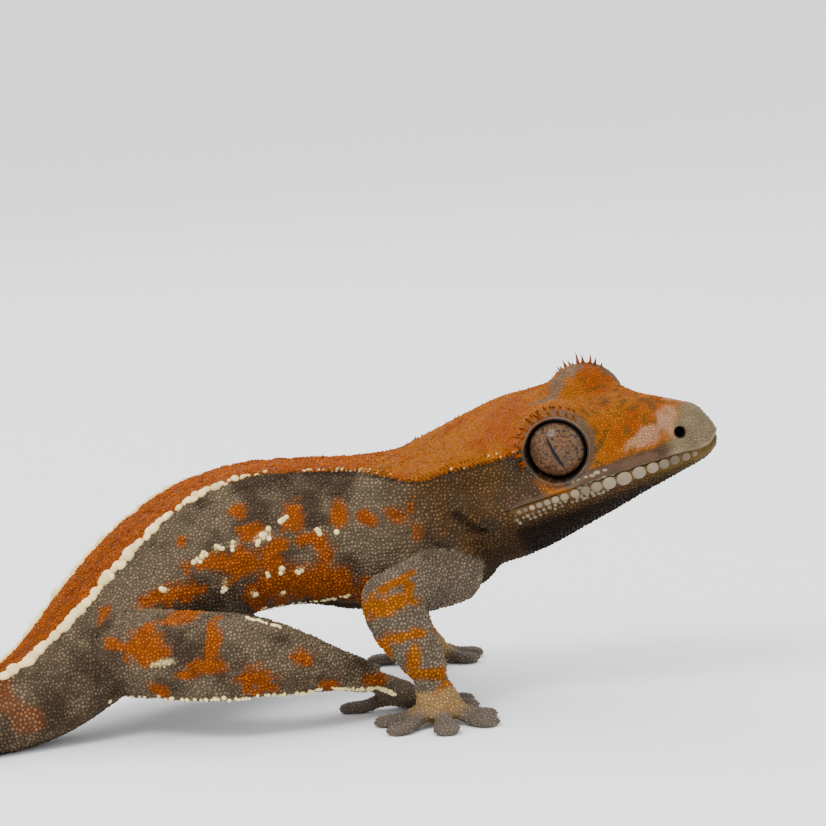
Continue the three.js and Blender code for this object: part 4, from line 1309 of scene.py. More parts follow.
class Term:
    """A number that varies over a surface, written in sums as plain numbers are."""

    def __init__(self, tree: bpy.types.NodeTree, socket: Socket) -> None:
        """Keep the socket that gives the number."""
        self.tree = tree
        self.socket = socket

    def _math(self, operation: str, *values: Term | float) -> Term:
        """Add one Math node.

        Args:
            operation: Blender's name of the operation.
            values: terms or plain numbers, in the order of its inputs.

        Returns:
            Its result.
        """
        node = self.tree.nodes.new("ShaderNodeMath")
        node.operation = operation
        for slot, value in zip(node.inputs, values):
            if isinstance(value, Term):
                self.tree.links.new(value.socket, slot)
            else:
                slot.default_value = value
        return Term(self.tree, node.outputs[0])

    def maths(self, operation: str, *others: Term | float) -> Term:
        """Result of any operation on this number and others."""
        return self._math(operation, self, *others)

    def __add__(self, other: Term | float) -> Term:
        """Sum."""
        return self._math("ADD", self, other)

    __radd__ = __add__

    def __sub__(self, other: Term | float) -> Term:
        """Difference."""
        return self._math("SUBTRACT", self, other)

    def __rsub__(self, other: Term | float) -> Term:
        """Difference, the other way round."""
        return self._math("SUBTRACT", other, self)

    def __mul__(self, other: Term | float) -> Term:
        """Product."""
        return self._math("MULTIPLY", self, other)

    __rmul__ = __mul__

    def between(self, low: float, high: float) -> Term:
        """Rise smoothly between two values.

        Args:
            low: value that gives 0.
            high: value that gives 1.

        Returns:
            The result.
        """
        node = self.tree.nodes.new("ShaderNodeMapRange")
        node.interpolation_type = "SMOOTHSTEP"
        self.tree.links.new(self.socket, node.inputs["Value"])
        node.inputs["From Min"].default_value = low
        node.inputs["From Max"].default_value = high
        return Term(self.tree, node.outputs["Result"])


class Workbench:
    """A node tree while it is being put together."""

    def __init__(self, tree: bpy.types.NodeTree) -> None:
        """Keep the tree."""
        self.tree = tree

    def node(self, kind: str, settings: dict[str, object] | None = None,
             values: dict[str | int, object] | None = None) -> bpy.types.Node:
        """Add any node.

        Args:
            kind: Blender's name of the node's type.
            settings: properties set before the sockets.
            values: plain values, terms or sockets by input name or number.

        Returns:
            The new node.
        """
        made = self.tree.nodes.new(kind)
        for key, value in (settings or {}).items():
            setattr(made, key, value)
        for key, value in (values or {}).items():
            self.put(made.inputs[key], value)
        return made

    def put(self, slot: Socket, value: object) -> None:
        """Link a term or a socket to an input, or set a plain value on it."""
        source = value.socket if isinstance(value, Term) else value
        if isinstance(source, Socket):
            self.tree.links.new(source, slot)
        else:
            slot.default_value = source


class Finish(Workbench):
    """One material while it is being put together."""

    def __init__(self, name: str) -> None:
        """Start a material with its shader alone."""
        self.material = bpy.data.materials.new(name)
        self.material.use_nodes = True
        super().__init__(self.material.node_tree)
        self.shader = self.tree.nodes["Principled BSDF"]

    def stored(self, name: str, colour: bool = False) -> Socket | Term:
        """Read what each vertex stores under a name, as a colour or as a number."""
        node = self.node("ShaderNodeAttribute", {"attribute_name": name, "attribute_type": "GEOMETRY"})
        return node.outputs["Color"] if colour else Term(self.tree, node.outputs["Fac"])

    def split(self, vector: Socket) -> list[Term]:
        """Give the three parts of a direction, place or colour."""
        node = self.node("ShaderNodeSeparateXYZ", None, {0: vector})
        return [Term(self.tree, socket) for socket in node.outputs]

    def noise(self, size: float, detail: float = 2.0, rough: float = 0.5,
              where: Socket | None = None) -> Term:
        """Give cloudy values about 0.5.

        Args:
            size: size of the lumps in millimetres.
            detail: how many finer layers are laid over them.
            rough: how strong each finer layer is.
            where: places in millimetres, if not those on the object in metres.

        Returns:
            The values.
        """
        place = where or self.node("ShaderNodeTexCoord").outputs["Object"]
        node = self.node("ShaderNodeTexNoise", None, {
            "Vector": place, "Scale": 1 / size if where else 1 / (size * MM), "Detail": detail,
            "Roughness": rough})
        return Term(self.tree, node.outputs["Fac"])

    def mix(self, factor: Term, first: object, second: object) -> Socket:
        """Blend two colours, from the first at 0 to the second at 1."""
        return self.node("ShaderNodeMix", {"data_type": "RGBA"}, {0: factor, 6: first, 7: second}).outputs[2]

    def brighten(self, colour: object, by: Term) -> Socket:
        """Multiply a colour by a number."""
        node = self.node("ShaderNodeVectorMath", {"operation": "SCALE"}, {0: colour, "Scale": by})
        return node.outputs[0]

    def relief(self, height: Term, depth: float) -> Socket:
        """Turn heights from 0 to 1 into a bumpy surface of a depth in millimetres."""
        node = self.node("ShaderNodeBump", None, {"Height": height, "Strength": 1.0, "Distance": depth * MM})
        return node.outputs["Normal"]

    def done(self, colour: object, roughness: object, normal: Socket | None = None,
             **constants: float) -> bpy.types.Material:
        """Connect the shader and give the material.

        Args:
            colour: colour or socket of the base.
            roughness: number, term or socket.
            normal: socket of a bump, if any.
            constants: plain shader inputs by name, with _ for a space.

        Returns:
            The material.
        """
        self.put(self.shader.inputs["Base Color"], colour)
        self.put(self.shader.inputs["Roughness"], roughness)
        if normal:
            self.put(self.shader.inputs["Normal"], normal)
        for name, value in constants.items():
            self.shader.inputs[name.replace("_", " ")].default_value = value
        return self.material


@dataclass(frozen=True)
class SkinFinish:
    """Skin, coloured by the tint that each vertex stores, and darkened by painted shade between its beads, as
    its gap stores.
    """

    name: str
    roughness: float
    sheen_patch: float = 0.9
    grain: float = 0.16
    relief: float = 0.03
    contrast: float = 0.4
    gloss: float = 0.06

    def make(self) -> bpy.types.Material:
        """Build the material."""
        paint = Finish(self.name)
        fine = paint.noise(self.grain, 3.0, 0.6)
        patchy = paint.noise(self.sheen_patch, 2.0)
        # painted shade: the skin darkened by the stored gap, so the spaces between beads look shadowed
        shade = (fine * self.contrast + (1 - self.contrast / 2)) * (1 - paint.stored("gap"))
        colour = paint.brighten(paint.stored("tint", colour=True), shade)
        rough = patchy * 0.2 + (self.roughness - 0.1)
        return paint.done(colour, rough, paint.relief(fine, self.relief), Specular_IOR_Level=self.gloss)


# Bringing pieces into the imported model's frame


@dataclass
class Stand:
    """Where the plan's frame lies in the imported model's."""

    shift: Array

    @classmethod
    def find(cls) -> Stand:
        """Find the shift from the right eyeball's place."""
        low, high = (np.array(corner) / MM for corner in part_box("eye_right"))
        return cls((low + high) / 2 - EYES[0].centre())

    def publish(self, piece: Piece, slot: str, replaced: Sequence[str] = ()) -> None:
        """Args:
            piece: object whose mesh is in the plan's millimetres.
            slot: not used.
            replaced: nodes of the solid model that it stands for.
        """
        mesh = piece.data
        points = np.empty(len(mesh.vertices) * 3, np.float32)
        mesh.vertices.foreach_get("co", points)
        points = (points.reshape(-1, 3) + self.shift) * MM
        mesh.vertices.foreach_set("co", points.astype(np.float32).ravel())
        mesh.update()
        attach(piece, "root")
        if replaced:
            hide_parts(*replaced)
        LOG.info("%s: %d triangles", piece.name, sum(len(face.vertices) - 2 for face in mesh.polygons))


# Repeated pieces


BAKE_PATCH = 0.003  # how wide each bead's or spine's patch is on the unwrap


class Growth(Workbench):
    """One Geometry Nodes tree while it is being put together."""

    def __init__(self, name: str) -> None:
        """Start a tree that takes and gives a mesh."""
        super().__init__(bpy.data.node_groups.new(name, "GeometryNodeTree"))
        self.tree.interface.new_socket("Geometry", in_out="INPUT", socket_type="NodeSocketGeometry")
        self.tree.interface.new_socket("Geometry", in_out="OUTPUT", socket_type="NodeSocketGeometry")
        self.given = self.tree.nodes.new("NodeGroupInput")
        self.result = self.tree.nodes.new("NodeGroupOutput")
        self.names: dict[str, str] = {}

    def ask(self, name: str, kind: str, default: float) -> Socket:
        """Add a named input.

        Args:
            name: its name.
            kind: its type, such as Float or Int.
            default: its value until a run sets another.

        Returns:
            The socket that gives it.
        """
        made = self.tree.interface.new_socket(name, in_out="INPUT", socket_type="NodeSocket" + kind)
        made.default_value = default
        self.names[name] = made.identifier
        return self.given.outputs[name]

    def stored(self, name: str, kind: str) -> Socket:
        """Read an attribute of a kind."""
        node = self.node("GeometryNodeInputNamedAttribute", {"data_type": kind}, {"Name": name})
        return node.outputs["Attribute"]

    def maths(self, operation: str, *values: object) -> Socket:
        """Add one Math node."""
        return self.node("ShaderNodeMath", {"operation": operation}, dict(enumerate(values))).outputs[0]

    def vectors(self, operation: str, **values: object) -> Socket:
        """Add one Vector Math node, with its inputs as a, b and scale."""
        keys = {"a": 0, "b": 1, "scale": "Scale"}
        inputs = {keys[key]: value for key, value in values.items()}
        return self.node("ShaderNodeVectorMath", {"operation": operation}, inputs).outputs[0]

    def position(self) -> Socket:
        """Place of each point."""
        return self.node("GeometryNodeInputPosition").outputs[0]

    def chance(self, low: float, high: float, seed: int) -> Socket:
        """Draw a random number for each item.

        Args:
            low: least value.
            high: greatest value.
            seed: which draw it is.

        Returns:
            The numbers.
        """
        node = self.node("FunctionNodeRandomValue", {"data_type": "FLOAT"})
        numbers = [socket for socket in node.inputs if socket.enabled and socket.type == "VALUE"]
        numbers[0].default_value, numbers[1].default_value = low, high
        node.inputs["Seed"].default_value = seed
        return next(socket for socket in node.outputs if socket.enabled)

    def store(self, mesh: Socket, name: str, kind: str, domain: str,
              value: object) -> Socket:
        """Store values on a mesh.

        Args:
            mesh: mesh or points that take them.
            name: name they are kept under.
            kind: Blender's name of their type.
            domain: what takes one value each, such as POINT or CORNER.
            value: the values.

        Returns:
            The mesh with the values.
        """
        node = self.node("GeometryNodeStoreNamedAttribute", {"data_type": kind, "domain": domain},
                         {"Geometry": mesh, "Name": name, "Value": value})
        return node.outputs[0]

    def close(self, mesh: Socket, material: bpy.types.Material) -> None:
        """End with real geometry in one material, each item a patch of the unwrap at its root."""
        real = self.node("GeometryNodeRealizeInstances", None, {"Geometry": mesh}).outputs[0]
        root = self.stored("root", "FLOAT_VECTOR")
        spot = self.vectors("SCALE", a=self.stored("spot", "FLOAT_VECTOR"), scale=BAKE_PATCH)
        real = self.store(real, "OFBake", "FLOAT2", "CORNER", self.vectors("ADD", a=root, b=spot))
        dressed = self.node("GeometryNodeSetMaterial", None, {"Geometry": real, "Material": material})
        self.tree.links.new(dressed.outputs[0], self.result.inputs[0])

    def run(self, name: str, base: bpy.types.Mesh, **inputs: float) -> Piece:
        """Grow a piece.

        Args:
            name: name of the new piece.
            base: mesh it grows on.
            inputs: values of the tree's named inputs.

        Returns:
            The piece as a plain mesh.
        """
        piece = link(bpy.data.objects.new(name, base.copy()))
        grow = piece.modifiers.new("grow", "NODES")
        grow.node_group = self.tree
        for key, value in inputs.items():
            grow[self.names[key]] = value
        settle(piece)
        piece.data.shade_smooth()
        return piece


class Patch(Enum):
    """Stretches of the coat, with how far apart their beads stand in millimetres.

    No two distances are quite equal, because equal values would be one member.
    """

    CROWN = 0.218
    CHEEKS = 0.29
    SHOULDER_RIGHT = 0.262
    SHOULDER_LEFT = 0.2621
    FLANK_RIGHT = 0.2622
    FLANK_LEFT = 0.2623
    HIP_RIGHT = 0.2701
    HIP_LEFT = 0.2702
    TAIL = 0.335
    ARM_RIGHT = 0.281
    ARM_LEFT = 0.2811
    LEG_RIGHT = 0.275
    LEG_LEFT = 0.2751

    @classmethod
    def of(cls, place: Place) -> Array:
        """Give each point's patch.

        Args:
            place: points of the skin.

        Returns:
            Number of the patch that each belongs to.
        """
        number = {patch: i for i, patch in enumerate(cls)}
        left = place.line < LINES / 2
        crown = ((place.across() < 1.1) | (place.local[:, 0] > 1.5)) & (place.above() > 0)
        patch = np.where(crown, number[cls.CROWN], number[cls.CHEEKS])
        patch = np.where(place.row < HEAD_END_ROW, patch, number[cls.SHOULDER_RIGHT] + left)
        patch = np.where(place.row > FLANK_ROW, number[cls.FLANK_RIGHT] + left, patch)
        patch = np.where(place.row > HIP_ROW, number[cls.HIP_RIGHT] + left, patch)
        patch = np.where(place.row > TAIL_BASE_ROW, number[cls.TAIL], patch)
        return np.where(place.limb >= 0, number[cls.ARM_RIGHT] + place.limb, patch)


def bead_tree(material: bpy.types.Material) -> Growth:
    """Pack small flattened beads over a skin, each with its own height, width and shade.

    Args:
        material: the beads' finish.

    Returns:
        The tree, which runs once for each patch.
    """
    grow = Growth(material.name)
    patch = grow.ask("Patch", "Int", 0)
    spacing = grow.ask("Spacing", "Float", 0.3)
    wide = grow.ask("Width", "Float", 1.06)
    high = grow.ask("Height", "Float", 0.7)
    most = grow.ask("Density", "Float", 70.0)
    seed = grow.ask("Seed", "Int", 1)
    here = grow.node("FunctionNodeCompare", {"data_type": "INT", "operation": "EQUAL"},
                     {"A": grow.stored("patch", "INT"), "B": patch}).outputs[0]
    spread = grow.node("GeometryNodeDistributePointsOnFaces", {"distribute_method": "POISSON"}, {
        "Mesh": grow.given.outputs[0], "Selection": here, "Distance Min": spacing, "Density Max": most,
        "Density Factor": grow.stored("coat", "FLOAT"), "Seed": seed})
    root = grow.stored("OFBake", "FLOAT_VECTOR")
    points = grow.store(spread.outputs["Points"], "root", "FLOAT_VECTOR", "POINT", root)
    points = grow.store(points, "vary", "FLOAT", "POINT", grow.chance(0.0, 1.0, 5))
    ball = grow.node("GeometryNodeMeshIcoSphere", None, {"Radius": 0.5, "Subdivisions": 1})
    shape = grow.store(ball.outputs["Mesh"], "spot", "FLOAT_VECTOR", "POINT", grow.position())
    across = grow.maths("MULTIPLY", grow.maths("MULTIPLY", spacing, wide),
                        grow.maths("MULTIPLY", grow.stored("girth", "FLOAT"), grow.chance(0.82, 1.16, 6)))
    up = grow.maths("MULTIPLY", grow.maths("MULTIPLY", across, high), grow.chance(0.7, 1.3, 7))
    size = grow.node("ShaderNodeCombineXYZ", None, {"X": across, "Y": across, "Z": up}).outputs[0]
    placed = grow.node("GeometryNodeInstanceOnPoints", None, {
        "Points": points, "Instance": shape, "Rotation": spread.outputs["Rotation"], "Scale": size})
    turn = grow.node("ShaderNodeCombineXYZ", None, {"Z": grow.chance(0.0, 6.28, 8)}).outputs[0]
    turned = grow.node("GeometryNodeRotateInstances", None,
                       {"Instances": placed.outputs[0], "Rotation": turn})
    grow.close(turned.outputs[0], material)
    return grow


class Shape(Enum):
    """What a set piece is made of."""

    BEAD = "bead"
    SPINE = "spine"


def set_tree(shape: Shape, material: bpy.types.Material) -> Growth:
    """Set one shape at every point, aimed, turned and sized as the point stores.

    Args:
        shape: the shape.
        material: its finish.

    Returns:
        The tree.
    """
    grow = Growth(f"set {shape.value}s")
    detail = grow.ask("Detail", "Int", 2)
    if shape is Shape.BEAD:
        ball = grow.node("GeometryNodeMeshIcoSphere", None, {"Radius": 0.5, "Subdivisions": detail})
        mesh = ball.outputs["Mesh"]
    else:
        cone = grow.node("GeometryNodeMeshCone", None, {
            "Vertices": 7, "Side Segments": 4, "Radius Top": 0.02, "Radius Bottom": 0.5, "Depth": 1.0})
        height = grow.node("ShaderNodeSeparateXYZ", None, {0: grow.position()}).outputs[2]
        bend = grow.maths("MULTIPLY", grow.maths("MULTIPLY", height, height), 0.25)
        offset = grow.node("ShaderNodeCombineXYZ", None, {"X": bend}).outputs[0]
        bent = grow.node("GeometryNodeSetPosition", None,
                         {"Geometry": cone.outputs["Mesh"], "Offset": offset})
        mesh = bent.outputs[0]
    mesh = grow.store(mesh, "spot", "FLOAT_VECTOR", "POINT", grow.position())
    aim, lead, size = (grow.stored(name, "FLOAT_VECTOR") for name in ("aim", "lead", "size"))
    turn = grow.node("FunctionNodeAxesToRotation", {"primary_axis": "Z", "secondary_axis": "X"},
                     {"Primary Axis": aim, "Secondary Axis": lead})
    points = grow.node("GeometryNodeMeshToPoints", None, {"Mesh": grow.given.outputs[0]}).outputs[0]
    points = grow.store(points, "vary", "FLOAT", "POINT", grow.chance(0.0, 1.0, 3))
    placed = grow.node("GeometryNodeInstanceOnPoints", None, {
        "Points": points, "Instance": mesh, "Rotation": turn.outputs[0], "Scale": size})
    grow.close(placed.outputs[0], material)
    return grow


@dataclass
class Setting:
    """Places, aims, sizes and colours of one kind of set piece."""

    points: list[Array] = field(default_factory=list)
    aims: list[Array] = field(default_factory=list)
    leads: list[Array] = field(default_factory=list)
    sizes: list[Triple] = field(default_factory=list)
    tints: list[Array] = field(default_factory=list)

    def add(self, point: Array, aim: Array, lead: Array, size: Triple,
            tint: Array) -> None:
        """Add one piece.

        Args:
            point: its middle.
            aim: the way its top points.
            lead: the way its front points.
            size: its size along the lead, across it and along the aim.
            tint: its linear colour.
        """
        self.points.append(np.asarray(point, float))
        self.aims.append(unit(np.asarray(aim, float)))
        self.leads.append(unit(np.asarray(lead, float)))
        self.sizes.append(size)
        self.tints.append(np.append(tint, 1.0))

    def grow(self, name: str, tree: Growth, skin: Piece, detail: int = 2) -> Piece:
        """Make the piece.

        Args:
            name: its name.
            tree: tree that sets the shapes.
            skin: skin it sits on, whose unwrap gives each shape its root.
            detail: how finely beads are divided.

        Returns:
            The piece as a plain mesh.
        """
        mesh = bpy.data.meshes.new(name + " places")
        mesh.from_pydata([tuple(point) for point in self.points], [], [])
        roots = [self._root(skin, point) for point in self.points]
        vectors = {"aim": self.aims, "lead": self.leads, "size": self.sizes, "root": roots}
        for key, values in vectors.items():
            add_attribute(mesh, key, "FLOAT_VECTOR", np.array(values))
        add_attribute(mesh, "tint", "FLOAT_COLOR", np.array(self.tints))
        return tree.run(name, mesh, Detail=detail)

    @staticmethod
    def _root(skin: Piece, point: Array) -> Triple:
        """Place on the skin's unwrap nearest to a point."""
        face = skin.closest_point_on_mesh(Vector(point))[3]
        flat = skin.data.uv_layers["OFBake"].data[skin.data.polygons[face].loop_start].uv
        return (*flat, 0.0)


@dataclass(frozen=True)
class BeadFinish:
    """Scales that each have their own tone, with painted shade round their feet and lighter tops, or darker
    towards their tips.
    """

    name: str
    roughness: float = 0.5
    spread: float = 0.5
    tip: float = 0.0
    # strength of the painted shade round the feet and the lighter tops
    top: float = 0.0
    gloss: float = 0.06

    def make(self) -> bpy.types.Material:
        """Build the material."""
        paint = Finish(self.name)
        vary = paint.stored("vary")
        fine = paint.noise(0.12, 2.0)
        height = paint.split(paint.stored("spot", colour=True))[2]
        shade = vary * self.spread + (1 - self.spread / 2)
        shade = shade * (fine * 0.24 + 0.88)
        if self.tip:
            shade = shade * (1 - height.between(0.25, 0.8) * self.tip)
        # painted shade: darker round the feet and lighter on top
        if self.top:
            shade = shade * (height.between(0.0, 0.45) * self.top + (1 - self.top * 0.5))
        colour = paint.brighten(paint.stored("tint", colour=True), shade)
        return paint.done(colour, fine * 0.2 + (self.roughness - 0.1), paint.relief(fine, 0.012),
                          Specular_IOR_Level=self.gloss)


FLESH = ("head", "lower_jaw", "neck", "thorax", "abdomen", "pelvis", "tail_base", "tail_middle", "tail_tip",
         "upper_arm_right", "forearm_right", "hand_right", "thigh_right", "shank_right", "foot_right",
         "upper_arm_left", "forearm_left", "hand_left", "thigh_left", "shank_left", "foot_left")


# Studio


@dataclass(frozen=True)
class Lamp:
    """One soft round panel of light: its place and size in metres, and its power in watts."""

    name: str
    place: Triple
    size: float
    power: float
    aim: Triple = (0.02, 0.0, 0.015)

    def hang(self) -> None:
        """Hang it, aimed at the animal."""
        data = bpy.data.lights.new(self.name, "AREA")
        data.shape = "DISK"
        data.size = self.size
        data.energy = self.power
        lamp = link(bpy.data.objects.new(self.name, data))
        turned = (Vector(self.aim) - Vector(self.place)).to_track_quat("-Z", "Y").to_matrix().to_4x4()
        lamp.matrix_world = Matrix.Translation(self.place) @ turned


@dataclass(frozen=True)
class Studio:
    """Pale floor and lamps, in metres, and the camera, placed in the plan's millimetres."""

    lamps: tuple[Lamp, ...] = (
        Lamp("key", (-0.20, -0.30, 0.44), 0.26, 2.4),
        Lamp("fill", (0.50, -0.16, 0.26), 0.34, 0.7),
        Lamp("back", (-0.10, 0.40, 0.40), 0.30, 1.0),
    )
    room: Colour = (0.97, 0.985, 1.0, 1)
    room_strength: float = 1.7
    paper: Colour = (0.91, 0.915, 0.93, 1)
    paper_speck: Colour = (0.925, 0.93, 0.945, 1)
    floor_half: float = 6.0
    floor_depths: tuple[float, ...] = (-1.5, 0.0, 3.0, 12.0)
    floor_drop: float = 0.00001
    camera_across: float = 1.80
    camera_height: float = 25.77
    camera_back: float = 381.5
    elevation: float = 7.0
    roll: float = 4.0
    lens: float = 184.0

    def make(self, stand: Stand) -> None:
        """Build everything round the animal."""
        self._camera(stand)
        self._floor()
        for lamp in self.lamps:
            lamp.hang()
        world = bpy.data.worlds.new("room")
        world.use_nodes = True
        light = world.node_tree.nodes["Background"]
        light.inputs["Color"].default_value = self.room
        light.inputs["Strength"].default_value = self.room_strength
        bpy.context.scene.world = world

    def _camera(self, stand: Stand) -> None:
        """Set the photograph's viewpoint."""
        tilt, turn = math.radians(self.elevation), math.radians(self.roll)
        high = np.array((0, math.sin(tilt), math.cos(tilt)))
        view = np.array((0, math.cos(tilt), -math.sin(tilt)))
        across = np.array((1.0, 0, 0))
        place = self.camera_across * across + self.camera_height * high - self.camera_back * view
        right = math.cos(turn) * across - math.sin(turn) * high
        up = math.sin(turn) * across + math.cos(turn) * high
        data = bpy.data.cameras.new("camera")
        data.lens = self.lens
        data.sensor_width = 36.0
        data.clip_end = 10.0
        camera = link(bpy.data.objects.new("camera", data))
        turned = Matrix((right, up, -view)).transposed().to_4x4()
        camera.matrix_world = Matrix.Translation((place + stand.shift) * MM) @ turned
        bpy.context.scene.camera = camera

    def _floor(self) -> None:
        """Lay a pale floor far beyond the view, just under the soles."""
        sides = (-self.floor_half, self.floor_half)
        points = [(x, y, -self.floor_drop) for y in self.floor_depths for x in sides]
        faces = [(2 * i, 2 * i + 1, 2 * i + 3, 2 * i + 2) for i in range(len(self.floor_depths) - 1)]
        floor = new_object("backdrop", np.array(points), faces)
        paint = Finish("backdrop paper")
        colour = paint.mix(paint.noise(0.8), self.paper, self.paper_speck)
        floor.data.materials.append(paint.done(colour, 0.95, Specular_IOR_Level=0.1))


@dataclass(frozen=True)
class EyeFinish:
    """Glossy ball with a slit pupil and fine dark veins; lengths are in millimetres."""

    name: str = "eye"
    iris: str = "5e402a"
    iris_shade: str = "4e3a24"
    vein: str = "26130c"
    halo: str = "3a2018"
    pupil: Colour = (0.003, 0.002, 0.002, 1.0)
    edge: Colour = (0.006, 0.004, 0.003, 1.0)
    slit_half: float = 1.56
    slit_width: float = 0.15
    rim: float = 2.5

    def make(self) -> bpy.types.Material:
        """Build the material."""
        paint = Finish(self.name)
        face = paint.stored("face", colour=True)
        x, y, _ = paint.split(face)
        length = paint.node("ShaderNodeVectorMath", {"operation": "LENGTH"}, {0: face})
        out = Term(paint.tree, length.outputs["Value"])
        warp = paint.noise(0.8, 1.0, where=face)
        fine = paint.noise(0.32, where=face)
        veins = 1 - ((warp + fine * 0.16) * 5.5).maths("PINGPONG", 0.5).between(0.06, 0.22)
        cloud = paint.noise(1.6, where=face).between(0.35, 0.65)
        base = paint.mix(cloud, srgb(self.iris), srgb(self.iris_shade))
        base = paint.mix(veins * (fine.between(0.25, 0.5) * 0.35 + 0.6), base, srgb(self.vein))
        high = y * (1 / self.slit_half)
        half = (1 - high * high).maths("MAXIMUM", 0.0)
        ragged = (paint.noise(0.3, 1.0, where=face) - 0.5) * 0.09
        outside = x.maths("ABSOLUTE") - (half.maths("SQRT") * self.slit_width + ragged)
        slit = 1 - outside.between(-0.02, 0.035)
        inside = half.between(0.0, 0.03)
        colour = paint.mix(slit * inside, base, self.pupil)
        halo = (1 - outside.between(0.0, 0.16)) * inside * (1 - slit)
        colour = paint.mix(halo * 0.45, colour, srgb(self.halo))
        colour = paint.mix(out.between(self.rim - 0.28, self.rim), colour, self.edge)
        return paint.done(colour, 0.4, Coat_Weight=0.16, Coat_Roughness=0.04, Specular_IOR_Level=0.1)


@dataclass
class Eyeballs:
    """Both balls, each with the place on its face stored for its markings."""

    slit_turn: float = 15.0
    rings: int = 40
    points: int = 64

    def make(self) -> list[tuple[Piece, str]]:
        """Build each ball and name the node it stands for."""
        material = EyeFinish().make()
        made = []
        for eye in EYES:
            out, ahead, up = eye.axes()
            turn = np.linspace(0, 2 * math.pi, self.points, endpoint=False)
            fall = np.linspace(0, math.pi, self.rings + 2)[1:-1]
            cornea = 1 + 0.02 * np.exp(-(fall / 0.6) ** 2)
            ring = np.cos(turn)[None, :, None] * ahead + np.sin(turn)[None, :, None] * up
            sections = (np.cos(fall)[:, None, None] * out + np.sin(fall)[:, None, None] * ring)
            sections = sections * (eye.radius * cornea)[:, None, None]
            points, faces = tube(eye.centre() + sections)
            name = "eyeball_" + eye.side.name.lower()
            ball = new_object(name, points, faces)
            away = points - eye.centre()
            c, s = math.cos(math.radians(self.slit_turn)), math.sin(math.radians(self.slit_turn))
            x, y = away @ ahead, away @ up
            behind = 3.0 / np.maximum(np.hypot(x, y), 0.1)  # brings the back out to the dark edge
            spread = np.where(away @ out > 0, 1.0, behind)
            face = np.stack([(x * c + y * s) * spread, (y * c - x * s) * spread, np.zeros(len(x))], axis=1)
            add_attribute(ball.data, "face", "FLOAT_VECTOR", face)
            ball.data.materials.append(material)
            made.append((ball, "eye_" + eye.side.name.lower()))
        return made


